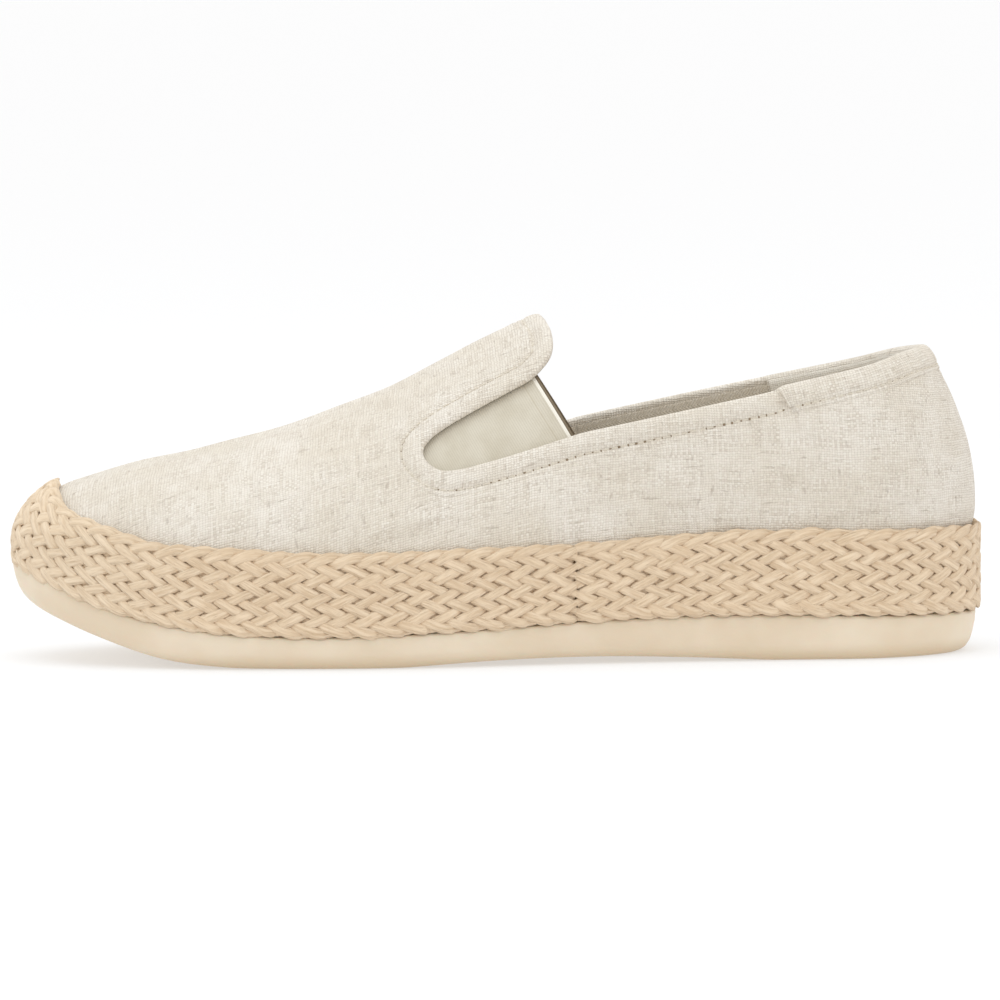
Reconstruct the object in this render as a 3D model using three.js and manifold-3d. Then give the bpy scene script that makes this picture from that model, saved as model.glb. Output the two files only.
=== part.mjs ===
// A slip-on espadrille for the left foot: linen upper with an elastic gore in each side notch,
// a flat jute plait wrapped round the midsole and over the toe, and a rubber outsole.
// Millimetres. X runs from toe (-) to heel (+), Y from the outer side (-) to the inner side (+), Z up.
// The origin is on the floor, under the middle of the shoe's length and width.

import * as THREE from 'three';
import { mergeVertices } from 'three/addons/utils/BufferGeometryUtils.js';
import Module from 'manifold-3d';

const wasm = await Module();
wasm.setup();

// Driving sizes. Stations, called "at", are distances behind the toe of the plait.
const LENGTH = 264;
const GAP = 0.3;
const PLAIT_THICK = 2.2;
const UPPER_WALL = 1.8;
const GORE_THICK = 1.2;
const INSOLE_THICK = 3.5;
const TIP = PLAIT_THICK + GAP;
const CENTRE_SHIFT = 0.72;

// Half-widths of the upper at its foot, before its two ends are rounded.
const OUTLINE = [
  { at: 3, outer: 36.0, inner: 38.0 },
  { at: 40, outer: 39.4, inner: 41.0 },
  { at: 72, outer: 43.2, inner: 43.0 },
  { at: 95, outer: 44.5, inner: 41.5 },
  { at: 120, outer: 41.5, inner: 35.3 },
  { at: 145, outer: 36.8, inner: 31.6 },
  { at: 170, outer: 33.4, inner: 31.0 },
  { at: 200, outer: 31.4, inner: 31.0 },
  { at: 228, outer: 30.8, inner: 30.8 },
  { at: 261, outer: 28.6, inner: 28.6 },
];
const TOE_ROUND = 57;
const HEEL_ROUND = 35;

// The crown line of the last, and how far it lies towards the inner side.
// Behind the tongue it runs on above the collar, where the upper is cut away.
const CROWN = [
  { at: 20, height: 49.2, shift: 0.0 },
  { at: 35, height: 53.3, shift: 0.6 },
  { at: 51, height: 56.4, shift: 1.2 },
  { at: 64, height: 59.6, shift: 1.7 },
  { at: 79, height: 63.9, shift: 2.2 },
  { at: 92, height: 68.5, shift: 2.6 },
  { at: 106, height: 74.2, shift: 3.0 },
  { at: 117, height: 79.8, shift: 3.0 },
  { at: 129, height: 85.9, shift: 3.0 },
  { at: 141, height: 91.4, shift: 2.8 },
  { at: 152, height: 93.7, shift: 2.4 },
  { at: 175, height: 95.1, shift: 1.2 },
  { at: 232, height: 94.1, shift: 0.0 },
];
const TOE_POLE = 20;
const TOE_FAN = 62;
const HEEL_POLE = LENGTH - 34;
const HEEL_FAN = 60;

// Shape of a rib, from the upright wall over to the crown: the height where it leaves the upright,
// how soon it turns in, how far it leans in on the way, and how broad its top is.
const RIB = [
  { at: 3, spring: 32, rise: 0.45, lean: 0.0, top: 0.56 },
  { at: 30, spring: 31, rise: 0.6, lean: 0.0, top: 0.58 },
  { at: 79, spring: 28, rise: 0.6, lean: 0.0, top: 0.54 },
  { at: 112, spring: 28, rise: 0.55, lean: 0.0, top: 0.43 },
  { at: 143, spring: 30, rise: 0.51, lean: -0.03, top: 0.39 },
  { at: 160, spring: 32, rise: 0.5, lean: -0.08, top: 0.8 },
  { at: 182, spring: 34, rise: 0.48, lean: -0.11, top: 1.04 },
  { at: 205, spring: 36, rise: 0.47, lean: -0.12, top: 1.06 },
  { at: 235, spring: 36, rise: 0.47, lean: -0.13, top: 1.0 },
  { at: 261, spring: 34, rise: 0.22, lean: -0.18, top: 0.75 },
];

// Heights along the sole: the tread face and the top of the outsole.
const SOLE = [
  { at: 0, under: 19.0, top: 27.7 },
  { at: 6, under: 15.4, top: 24.4 },
  { at: 15, under: 11.3, top: 20.4 },
  { at: 27, under: 6.7, top: 15.8 },
  { at: 40, under: 2.7, top: 12.5 },
  { at: 58, under: 0.4, top: 9.8 },
  { at: 74, under: 0.0, top: 8.9 },
  { at: 104, under: 0.0, top: 9.2 },
  { at: 130, under: 1.3, top: 10.3 },
  { at: 160, under: 1.7, top: 11.9 },
  { at: 186, under: 0.9, top: 12.7 },
  { at: 206, under: 0.0, top: 12.7 },
  { at: 235, under: 0.0, top: 12.0 },
  { at: 264, under: 0.0, top: 11.5 },
];
const FOREFOOT_FLAT = [74, 104];
const HEEL_FLAT = 206;
const MIDSOLE_FOREFOOT = 4.6;
const HEEL_LIFT = 2.6;
const LIFT_FROM = 95;
const LIFT_TO = 185;

// Height of the plait's top edge, by the station of the rib that it crosses.
const PLAIT_TOP = [
  { at: 3, height: 46.8 },
  { at: 8, height: 45.1 },
  { at: 14, height: 42.0 },
  { at: 25, height: 38.3 },
  { at: 38, height: 34.6 },
  { at: 52, height: 33.3 },
  { at: 66, height: 32.4 },
  { at: 80, height: 31.7 },
  { at: 95, height: 31.6 },
  { at: 125, height: 32.3 },
  { at: 160, height: 33.5 },
  { at: 195, height: 35.7 },
  { at: 230, height: 35.6 },
  { at: 261, height: 35.3 },
];

// Section of the plait band: share of its height, and share of its thickness that it stands out.
const PLAIT_SECTION = [
  { up: 0.0, out: 0.72 },
  { up: 0.06, out: 0.95 },
  { up: 0.3, out: 1.0 },
  { up: 0.62, out: 1.0 },
  { up: 0.9, out: 0.86 },
  { up: 1.0, out: 0.45 },
];

// Side section of the outsole: share of its height, and how far it stands out from the upper's foot.
// Round the toe the whole section stands out farther.
const OUTSOLE_SIDE = [
  { up: 0.0, out: -5.2 },
  { up: 0.05, out: -2.1 },
  { up: 0.24, out: -0.4 },
  { up: 0.6, out: 0.8 },
  { up: 1.0, out: 1.1 },
];
const TOE_BUMPER = 1.0;
const TOE_BUMPER_END = 26;

// Ribs round each side: fans at toe and heel, upright planes between them.
const TOE_RIBS = 9;
const SIDE_RIBS = 18;
const HEEL_RIBS = 8;
const RIBS = TOE_RIBS + SIDE_RIBS + HEEL_RIBS;
const WALL_ROWS = 2;
const DOME_ROWS = 10;

// How far cutting forms run past what they cut, and how finely slopes and heights are found.
const PAST = 2;
const CUT_TOP = 130;
const CUT_BACK = 290;
const CUT_HALF_SPAN = 70;
const PROBE = 0.04;
const HALVINGS = 30;

// Smooth value of one column of a table at a station: a cubic through its rows.
function valueAt(table, column, at) {
  const last = table.length - 1;
  const x = THREE.MathUtils.clamp(at, table[0].at, table[last].at);
  let i = 0;
  while (i < last - 1 && x > table[i + 1].at) i += 1;
  const span = table[i + 1].at - table[i].at;
  const secant = (k) => (table[k + 1][column] - table[k][column]) / (table[k + 1].at - table[k].at);
  const slope = (k) => {
    if (k === 0) return secant(0);
    if (k === last) return secant(last - 1);
    const before = table[k].at - table[k - 1].at;
    const after = table[k + 1].at - table[k].at;
    return (secant(k) * before + secant(k - 1) * after) / (before + after);
  };
  const t = (x - table[i].at) / span;
  const start = table[i][column] * (1 + 2 * t) * (1 - t) ** 2;
  const end = table[i + 1][column] * (3 - 2 * t) * t ** 2;
  return start + end + span * (slope(i) * t * (1 - t) ** 2 - slope(i + 1) * (1 - t) * t ** 2);
}

function quarterRound(share) {
  return share >= 1 ? 1 : Math.sqrt(Math.max(0, 1 - (1 - share) ** 2));
}

// Station of a rib, counted from the toe. The ribs are even in angle round both ends.
function stationOf(rib) {
  const toeEnd = TIP + TOE_ROUND;
  const heelEnd = LENGTH - TIP - HEEL_ROUND;
  if (rib <= TOE_RIBS) return TIP + TOE_ROUND * (1 - Math.cos((rib / TOE_RIBS) * Math.PI / 2));
  if (rib <= TOE_RIBS + SIDE_RIBS) return toeEnd + (heelEnd - toeEnd) * (rib - TOE_RIBS) / SIDE_RIBS;
  return heelEnd + HEEL_ROUND * Math.sin((rib - TOE_RIBS - SIDE_RIBS) / HEEL_RIBS * Math.PI / 2);
}

// Where a rib meets the crown line: straight above its foot, and drawn to a pole at each end.
function crownStation(at) {
  const toePart = at / TOE_FAN;
  const heelPart = (LENGTH - at) / HEEL_FAN;
  const heelPole = LENGTH - HEEL_POLE;
  if (toePart < 1) return TOE_POLE + (TOE_FAN - TOE_POLE) * toePart ** (TOE_FAN / (TOE_FAN - TOE_POLE));
  if (heelPart >= 1) return at;
  return HEEL_POLE - (HEEL_FAN - heelPole) * heelPart ** (HEEL_FAN / (HEEL_FAN - heelPole));
}

// A place round the shoe is a signed rib number: minus on the outer side, plus on the inner side,
// 0 at the toe and RIBS at the heel. Past either end it carries on along the other side.
function placeRound(rib) {
  const side = rib < 0 ? -1 : 1;
  const count = Math.abs(rib);
  return count > RIBS ? { at: stationOf(2 * RIBS - count), side: -side } : { at: stationOf(count), side };
}

function footPoint({ at, side }) {
  const rounding = quarterRound((at - TIP) / TOE_ROUND) * quarterRound((LENGTH - TIP - at) / HEEL_ROUND);
  const half = valueAt(OUTLINE, side < 0 ? 'outer' : 'inner', at) * rounding;
  return new THREE.Vector2(at, side * half);
}

function crownPoint(at) {
  const station = crownStation(at);
  return new THREE.Vector3(station, valueAt(CROWN, 'shift', station), valueAt(CROWN, 'height', station));
}

function crownSlope(at) {
  const station = crownStation(at);
  return (valueAt(CROWN, 'height', station + 0.5) - valueAt(CROWN, 'height', station - 0.5));
}

// Height of the midsole's top face, which the upper and the insole stand on.
function seatHeight(at) {
  const lift = THREE.MathUtils.smoothstep(at, LIFT_FROM, LIFT_TO) * HEEL_LIFT;
  return valueAt(SOLE, 'top', at) + MIDSOLE_FOREFOOT + lift;
}

// A point of the upper's outside. Up to 0 the rib is upright, rising from the given foot height;
// from 0 to 1 it turns over to the crown line.
function upperPoint(rib, up, footHeight) {
  const place = placeRound(rib);
  const foot = footPoint(place);
  const spring = valueAt(RIB, 'spring', place.at);
  if (up <= 0) return new THREE.Vector3(foot.x, foot.y, spring + up * (spring - footHeight(place.at)));
  const crown = crownPoint(place.at);
  const rise = valueAt(RIB, 'rise', place.at) * (crown.z - spring);
  const bulge = 1 - valueAt(RIB, 'lean', place.at);
  const broad = valueAt(RIB, 'top', place.at);
  const start = new THREE.Vector3(foot.x, foot.y, spring);
  const turn = new THREE.Vector3(
    crown.x + (foot.x - crown.x) * bulge,
    crown.y + (foot.y - crown.y) * bulge,
    spring + rise,
  );
  const shoulder = new THREE.Vector3(
    crown.x + (foot.x - crown.x) * broad,
    crown.y + (foot.y - crown.y) * broad,
    crown.z + crownSlope(place.at) * (foot.x - crown.x) * broad,
  );
  return new THREE.CubicBezierCurve3(start, turn, shoulder, crown).getPoint(up);
}

// The same point moved out from the upper by a distance, or in by a negative one.
function shellPoint(rib, up, out, footHeight) {
  const point = upperPoint(rib, up, footHeight);
  if (out === 0) return point;
  const slope = crownSlope(placeRound(rib).at);
  const normal = new THREE.Vector3(-slope, 0, 1);
  if (up < 1) {
    const along = upperPoint(rib + PROBE, up, footHeight).sub(upperPoint(rib - PROBE, up, footHeight));
    const upward = upperPoint(rib, Math.min(1, up + PROBE), footHeight);
    upward.sub(upperPoint(rib, Math.max(-1, up - PROBE), footHeight));
    normal.crossVectors(upward, along);
  }
  return point.addScaledVector(normal.normalize(), out);
}

// How far up its rib the upper reaches a height.
function ribShareAt(rib, height) {
  let low = 0;
  let high = 1;
  for (let i = 0; i < HALVINGS; i += 1) {
    const middle = (low + high) / 2;
    if (upperPoint(rib, middle, seatHeight).z < height) low = middle;
    else high = middle;
  }
  return low;
}

// The midsole's and the outsole's faces go out from the upper's foot in plan only.
function soleEdge(rib, out) {
  const foot = footPoint(placeRound(rib));
  const along = footPoint(placeRound(rib + PROBE)).sub(footPoint(placeRound(rib - PROBE)));
  const outward = new THREE.Vector2(-along.y, along.x).normalize();
  return foot.addScaledVector(outward, out);
}

// Station and height to the shoe's own frame.
function place(point) {
  return [point.x - LENGTH / 2, point.y + CENTRE_SHIFT, point.z];
}

// Closed solid from points and the triangles between them.
function solidOf(positions, faces) {
  const geometry = new THREE.BufferGeometry();
  geometry.setAttribute('position', new THREE.Float32BufferAttribute(positions.flat(), 3));
  geometry.setIndex(faces.flat());
  return toManifold(geometry);
}

function toManifold(geometry) {
  geometry.deleteAttribute('normal');
  geometry.deleteAttribute('uv');
  const merged = mergeVertices(geometry, 1e-4);
  const index = merged.index.array;
  const kept = [];
  for (let i = 0; i < index.length; i += 3) {
    const [a, b, c] = index.slice(i, i + 3);
    if (a !== b && b !== c && c !== a) kept.push(a, b, c);
  }
  const vertProperties = new Float32Array(merged.attributes.position.array);
  return new wasm.Manifold(new wasm.Mesh({ numProp: 3, vertProperties, triVerts: new Uint32Array(kept) }));
}

// The ribs in order once round the shoe: from the toe by the outer side to the heel and back.
const ROUND = Array.from({ length: 2 * RIBS }, (_, i) => (i < RIBS ? -i : 2 * RIBS - i));

// Faces between one ring of ribs and the next ring up, seen from outside.
function ringFaces(lower, upper) {
  const faces = [];
  const count = ROUND.length;
  for (let i = 0; i < count; i += 1) {
    const next = (i + 1) % count;
    faces.push([lower + i, lower + next, upper + next], [lower + i, upper + next, upper + i]);
  }
  return faces;
}

// A flat or gently bent lid across a ring, laid rib by rib between its two sides.
function lidFaces(ring, facesUp) {
  const faces = [];
  for (let k = 0; k < RIBS; k += 1) {
    const outer = ring + k;
    const outerNext = ring + k + 1;
    const inner = ring + (2 * RIBS - k) % (2 * RIBS);
    const innerNext = ring + 2 * RIBS - k - 1;
    faces.push([outer, inner, innerNext], [outer, innerNext, outerNext]);
  }
  return facesUp ? faces.map(([a, b, c]) => [a, c, b]) : faces;
}

// The last's outer form, grown or shrunk by a distance, closed below, with its foot sunk by a depth.
function lastForm(out, sink) {
  const footHeight = (at) => seatHeight(at) + GAP - sink;
  const positions = [];
  const faces = [];
  const rows = WALL_ROWS + DOME_ROWS;
  for (let row = 0; row <= rows; row += 1) {
    const up = row < WALL_ROWS ? row / WALL_ROWS - 1 : (row - WALL_ROWS) / DOME_ROWS;
    for (const rib of ROUND) positions.push(place(shellPoint(rib, up, out, footHeight)));
    if (row > 0) faces.push(...ringFaces((row - 1) * ROUND.length, row * ROUND.length));
  }
  faces.push(...lidFaces(0, false));
  return solidOf(positions, faces);
}

// A solid of stacked rings with a lid above and below. Each level gives its points round the shoe.
function stack(levels) {
  const positions = levels.flatMap((level) => ROUND.map((rib) => place(level(rib))));
  const faces = levels.slice(1).flatMap((_, i) => ringFaces(i * ROUND.length, (i + 1) * ROUND.length));
  faces.push(...lidFaces(0, false), ...lidFaces((levels.length - 1) * ROUND.length, true));
  return solidOf(positions, faces);
}

function underHeight(at) {
  const flat = (at > FOREFOOT_FLAT[0] && at < FOREFOOT_FLAT[1]) || at > HEEL_FLAT;
  return flat ? 0 : Math.max(0, valueAt(SOLE, 'under', at));
}

function outsoleSolid() {
  const levels = OUTSOLE_SIDE.map(({ up, out }) => (rib) => {
    const bumper = TOE_BUMPER * (1 - THREE.MathUtils.smoothstep(placeRound(rib).at, 0, TOE_BUMPER_END));
    const edge = soleEdge(rib, out + bumper);
    const under = underHeight(edge.x);
    return new THREE.Vector3(edge.x, edge.y, under + up * (valueAt(SOLE, 'top', edge.x) - under));
  });
  return stack(levels);
}

function midsoleSolid() {
  const level = (heightAt) => (rib) => {
    const edge = soleEdge(rib, 0);
    return new THREE.Vector3(edge.x, edge.y, heightAt(edge.x));
  };
  return stack([level((at) => valueAt(SOLE, 'top', at) + GAP), level(seatHeight)]);
}

function insoleSolid() {
  const level = (out, rise) => (rib) => {
    const edge = soleEdge(rib, out);
    return new THREE.Vector3(edge.x, edge.y, seatHeight(edge.x) + rise);
  };
  const slab = stack([level(0, GAP), level(0, INSOLE_THICK + GAP)]);
  return slab.intersect(lastForm(-UPPER_WALL - GAP, PAST));
}

// The plait is a closed ring with a face that bulges a little. Its back is cut to lie just off
// the upper and the midsole.
function plaitSolid() {
  const bottom = (at) => valueAt(SOLE, 'top', at) + GAP;
  const ringPoint = (rib, up, out) => {
    const { at } = placeRound(rib);
    const low = bottom(soleEdge(rib, out).x);
    const height = low + up * (valueAt(PLAIT_TOP, 'height', at) - low);
    const spring = valueAt(RIB, 'spring', at);
    const share = height <= spring ? (height - spring) / (spring - low) : ribShareAt(rib, height);
    return shellPoint(rib, share, out, () => low);
  };
  const face = PLAIT_SECTION.map(({ up, out }) => (rib) => ringPoint(rib, up, GAP + out * PLAIT_THICK));
  const back = [1, 0.5, 0].map((up) => (rib) => ringPoint(rib, up, -UPPER_WALL));
  const levels = [...face, ...back];
  const positions = levels.flatMap((level) => ROUND.map((rib) => place(level(rib))));
  const faces = levels.flatMap((_, i) => {
    const next = (i + 1) % levels.length;
    return ringFaces(i * ROUND.length, next * ROUND.length);
  });
  return solidOf(positions, faces).subtract(lastForm(GAP, MIDSOLE_FOREFOOT + HEEL_LIFT + PAST));
}

// Side view of all that is cut away above the topline: the tongue's edge, the notch, the collar and
// its back part, which has a step on the outer side only, where the heel strip starts.
function toplineShape(backPart) {
  const shape = new THREE.Shape();
  const through = (points) => shape.splineThru(points.map(([at, height]) => new THREE.Vector2(at, height)));
  const top = backPart[backPart.length - 1][1];
  shape.moveTo(143.7, CUT_TOP);
  shape.lineTo(143.7, 93.0);
  through([[146.3, 90.3], [147.1, 86.3], [146.0, 81.9], [141.4, 76.7]]);
  through([[131.4, 71.6], [118.4, 64.7], [112.8, 60.6], [111.6, 57.3], [114.0, 54.1], [119.4, 52.8],
    [135.4, 56.6], [154.6, 62.5]]);
  through([[182, 68.1], [208.4, 73.5]]);
  shape.lineTo(...backPart[0]);
  through(backPart.slice(1));
  shape.lineTo(CUT_BACK, top);
  shape.lineTo(CUT_BACK, CUT_TOP);
  shape.closePath();
  return shape;
}

const OUTER_BACK_PART = [[209.2, 74.7], [231, 79.4], [243, 82.8], [254, 84.2]];
const INNER_BACK_PART = [[209.2, 73.7], [231, 78.2], [243, 81.8], [254, 84.2]];

// Side view of a gore with the margin that is sewn behind the upper. Its back edge is straight.
function goreShape() {
  const shape = new THREE.Shape();
  const points = [[123.4, 74.7], [111.4, 66.9], [106.4, 59.9], [106.0, 53.5], [110.4, 48.4], [118.4, 46.8],
    [137.4, 50.8], [153.6, 57.8]];
  shape.moveTo(139.6, 81.4);
  shape.splineThru(points.map(([at, height]) => new THREE.Vector2(at, height)));
  shape.closePath();
  return shape;
}

// A side-view shape run across the shoe from one Y to another.
function acrossShoe(shape, fromY, toY) {
  const geometry = new THREE.ExtrudeGeometry(shape, {
    depth: toY - fromY,
    bevelEnabled: false,
    curveSegments: 5,
  });
  geometry.rotateX(Math.PI / 2);
  geometry.translate(-LENGTH / 2, toY, 0);
  return toManifold(geometry);
}

function upperSolid() {
  const shell = lastForm(0, 0).subtract(lastForm(-UPPER_WALL, PAST));
  const outerCut = acrossShoe(toplineShape(OUTER_BACK_PART), -CUT_HALF_SPAN, 0);
  const innerCut = acrossShoe(toplineShape(INNER_BACK_PART), 0, CUT_HALF_SPAN);
  return shell.subtract(outerCut.add(innerCut));
}

function goreSolid(fromY, toY) {
  const out = -UPPER_WALL - GAP;
  const sheet = lastForm(out, PAST).subtract(lastForm(out - GORE_THICK, 2 * PAST));
  return sheet.intersect(acrossShoe(goreShape(), fromY, toY));
}

// Looks and assembly.
function finish(colour, roughness) {
  return new THREE.MeshStandardMaterial({ color: new THREE.Color(colour), roughness, metalness: 0 });
}

const LINEN = finish('#e4ddd0', 0.92);
const ELASTIC = finish('#d4ccb8', 0.88);
const JUTE = finish('#d9c4a7', 0.95);
const RUBBER = finish('#e6d5ba', 0.55);
const FOAM = finish('#d8cbb2', 0.9);
const SOCK = finish('#d6cdb9', 0.93);

function toMesh(name, solid, material) {
  const { vertProperties, triVerts, numProp } = solid.getMesh();
  const geometry = new THREE.BufferGeometry();
  geometry.setAttribute('position', new THREE.BufferAttribute(new Float32Array(vertProperties), numProp));
  geometry.setIndex(new THREE.BufferAttribute(new Uint32Array(triVerts), 1));
  geometry.computeVertexNormals();
  const mesh = new THREE.Mesh(geometry, material);
  mesh.name = name;
  return mesh;
}

const espadrille = new THREE.Group();
espadrille.add(
  toMesh('outsole', outsoleSolid(), RUBBER),
  toMesh('midsole', midsoleSolid(), FOAM),
  toMesh('jute_braid', plaitSolid(), JUTE),
  toMesh('upper', upperSolid(), LINEN),
  toMesh('gore_outer', goreSolid(-CUT_HALF_SPAN, 0), ELASTIC),
  toMesh('gore_inner', goreSolid(0, CUT_HALF_SPAN), ELASTIC),
  toMesh('insole', insoleSolid(), SOCK),
);

export default espadrille;
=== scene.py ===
# A left slip-on espadrille, standing empty on its sole: linen upper with an elastic gore in each side
# notch, a flat jute plait round the midsole and over the toe, and a pale rubber outsole.
# Sizes are in millimetres and are turned to metres as each piece is laid in the frame. A station, "at",
# is a distance behind the toe of the plait.

import math

import bpy
import numpy as np
from mathutils import Matrix, Vector
from mathutils.kdtree import KDTree


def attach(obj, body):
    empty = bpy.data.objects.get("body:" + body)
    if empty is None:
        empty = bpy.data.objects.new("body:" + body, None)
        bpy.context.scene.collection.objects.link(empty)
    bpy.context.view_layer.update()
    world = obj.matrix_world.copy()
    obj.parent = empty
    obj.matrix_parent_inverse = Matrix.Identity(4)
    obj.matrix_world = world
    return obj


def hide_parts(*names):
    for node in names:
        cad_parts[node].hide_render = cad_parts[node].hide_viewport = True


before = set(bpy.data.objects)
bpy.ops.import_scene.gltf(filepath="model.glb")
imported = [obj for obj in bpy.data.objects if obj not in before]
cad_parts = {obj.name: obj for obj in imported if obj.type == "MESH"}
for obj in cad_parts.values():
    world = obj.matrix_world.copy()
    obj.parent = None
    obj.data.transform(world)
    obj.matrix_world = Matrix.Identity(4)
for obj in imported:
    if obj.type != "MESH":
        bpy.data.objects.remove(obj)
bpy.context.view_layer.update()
bpy.ops.object.select_all(action="DESELECT")

# Outsole.
# Pale blown rubber, moulded in one piece with a thin upright rim, a rounded lower edge, toe spring and
# a rippled tread. It is cemented under the midsole. The outline and the heights start here.
LENGTH = 264.0
GAP = 0.3
PLAIT_THICK = 2.2
TIP = PLAIT_THICK + GAP
CENTRE_SHIFT = 0.72
TOE_ROUND, HEEL_ROUND = 57.0, 35.0
TOE_RIBS, SIDE_RIBS, HEEL_RIBS = 9, 18, 8
RIBS = TOE_RIBS + SIDE_RIBS + HEEL_RIBS
PER_RIB = 8
ENDS = RIBS * PER_RIB
OUTLINE = {
    "at": [3, 40, 72, 95, 120, 145, 170, 200, 228, 261],
    "outer": [36.0, 39.4, 43.2, 44.5, 41.5, 36.8, 33.4, 31.4, 30.8, 28.6],
    "inner": [38.0, 41.0, 43.0, 41.5, 35.3, 31.6, 31.0, 31.0, 30.8, 28.6],
}
SOLE = {
    "at": [0, 6, 15, 27, 40, 58, 74, 104, 130, 160, 186, 206, 235, 264],
    "under": [19.0, 15.4, 11.3, 6.7, 2.7, 0.4, 0.0, 0.0, 1.3, 1.7, 0.9, 0.0, 0.0, 0.0],
    "top": [27.7, 24.4, 20.4, 15.8, 12.5, 9.8, 8.9, 9.2, 10.3, 11.9, 12.7, 12.7, 12.0, 11.5],
}
FOREFOOT_FLAT = (74, 104)
HEEL_FLAT = 206
OUTSOLE_SIDE = {
    "up": [0.0, 0.01, 0.04, 0.1, 0.24, 0.45, 0.7, 0.9, 0.97, 1.0, 1.0],
    "out": [-4.6, -3.5, -2.6, -1.6, -0.5, 0.3, 0.9, 1.12, 0.95, 0.4, -2.0],
}
TOE_BUMPER, TOE_BUMPER_END = 1.0, 26
TREAD_DEEP, TREAD_PITCH, TREAD_BORDER = 0.9, 5.6, 5.0


def column_at(table, column, at):
    """Smooth value of one column of a table at some stations: a cubic through its rows."""
    x = np.asarray(table["at"], float)
    y = np.asarray(table[column], float)
    step = np.diff(x)
    secant = np.diff(y) / step
    slope = np.concatenate([secant[:1], np.zeros(len(x) - 2), secant[-1:]])
    slope[1:-1] = (secant[1:] * step[:-1] + secant[:-1] * step[1:]) / (step[:-1] + step[1:])
    at = np.clip(at, x[0], x[-1])
    i = np.clip(np.searchsorted(x, at) - 1, 0, len(x) - 2)
    t = (at - x[i]) / step[i]
    ends = y[i] * (1 + 2 * t) * (1 - t) ** 2 + y[i + 1] * (3 - 2 * t) * t**2
    return ends + step[i] * (slope[i] * t * (1 - t) ** 2 - slope[i + 1] * (1 - t) * t**2)


def unit(vectors):
    return vectors / np.maximum(np.linalg.norm(vectors, axis=-1, keepdims=True), 1e-12)


def soft_step(x, start, end):
    t = np.clip((x - start) / (end - start), 0, 1)
    return t * t * (3 - 2 * t)


def bell(x, middle, width):
    return np.exp(-(((x - middle) / width) ** 2))


def station_of(rib):
    """Station of a rib counted from the toe: even in angle round both ends, even in length between."""
    heel_start = LENGTH - TIP - HEEL_ROUND
    toe_end = TIP + TOE_ROUND
    toe = TIP + TOE_ROUND * (1 - np.cos(np.clip(rib / TOE_RIBS, 0, 1) * np.pi / 2))
    side = toe_end + (heel_start - toe_end) * (rib - TOE_RIBS) / SIDE_RIBS
    turn = np.clip((rib - TOE_RIBS - SIDE_RIBS) / HEEL_RIBS, 0, 1) * np.pi / 2
    heel = heel_start + HEEL_ROUND * np.sin(turn)
    return np.where(rib <= TOE_RIBS, toe, np.where(rib <= TOE_RIBS + SIDE_RIBS, side, heel))


STATIONS = station_of(np.arange(ENDS + 1) / PER_RIB)


def foot_points(at, side):
    """Outline of the upper's foot in plan. side is -1 on the outer side and 1 on the inner side."""
    toe = np.sqrt(np.maximum(0, 1 - np.maximum(0, 1 - (at - TIP) / TOE_ROUND) ** 2))
    heel = np.sqrt(np.maximum(0, 1 - np.maximum(0, 1 - (LENGTH - TIP - at) / HEEL_ROUND) ** 2))
    half = np.where(side < 0, column_at(OUTLINE, "outer", at), column_at(OUTLINE, "inner", at))
    return np.stack([at, side * half * toe * heel], axis=-1)


def sole_edges(out):
    """The foot outline moved out in plan, as [side][rib step], with side 0 the outer one."""
    rings = []
    for side in (-1, 1):
        foot = foot_points(STATIONS, side)
        mirror = foot_points(STATIONS, -side)
        longer = np.concatenate([mirror[1:2], foot, mirror[-2:-1]])
        along = longer[2:] - longer[:-2]
        outward = unit(np.stack([-along[:, 1], along[:, 0]], axis=-1)) * side
        rings.append(foot + outward * out)
    return np.array(rings)


def in_frame(points):
    """Station, side and height in millimetres to the shared frame in metres."""
    moved = np.asarray(points, float) - np.array([LENGTH / 2, -CENTRE_SHIFT, 0.0])
    return moved * 0.001


def lay_grid(name, points, uv=None):
    """A grid primitive with its vertices laid at points[row][column]. Columns crossed with rows give
    its outward side. uv gives each vertex a place on the cloth or the fibre, in millimetres."""
    rows, columns = points.shape[:2]
    bpy.ops.mesh.primitive_grid_add(x_subdivisions=columns - 1, y_subdivisions=rows - 1, size=1)
    piece = bpy.context.object
    piece.name = name
    piece.data.name = name
    piece.data.vertices.foreach_set("co", in_frame(points).ravel())
    if uv is not None:
        corners = np.empty(len(piece.data.loops), int)
        piece.data.loops.foreach_get("vertex_index", corners)
        piece.data.uv_layers[0].data.foreach_set("uv", uv.reshape(-1, 2)[corners].ravel())
    piece.data.update()
    return piece


def close_up(piece, fill=False):
    """Merges doubled points, and closes the holes that are left if asked."""
    bpy.ops.object.select_all(action="DESELECT")
    piece.select_set(True)
    bpy.context.view_layer.objects.active = piece
    bpy.ops.object.mode_set(mode="EDIT")
    bpy.ops.mesh.select_all(action="SELECT")
    bpy.ops.mesh.remove_doubles(threshold=2e-6)
    if fill:
        bpy.ops.mesh.select_all(action="DESELECT")
        bpy.ops.mesh.select_non_manifold()
        bpy.ops.mesh.edge_face_add()
    bpy.ops.mesh.select_all(action="DESELECT")
    bpy.ops.object.mode_set(mode="OBJECT")
    piece.select_set(False)
    return piece


def smooth(piece, angle=50):
    piece.select_set(True)
    bpy.context.view_layer.objects.active = piece
    bpy.ops.object.shade_smooth_by_angle(angle=math.radians(angle))
    piece.select_set(False)


def apply_modifier(piece, kind, **settings):
    modifier = piece.modifiers.new(kind.title(), kind)
    for name, value in settings.items():
        setattr(modifier, name, value)
    bpy.context.view_layer.objects.active = piece
    bpy.ops.object.modifier_apply(modifier=modifier.name)


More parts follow.
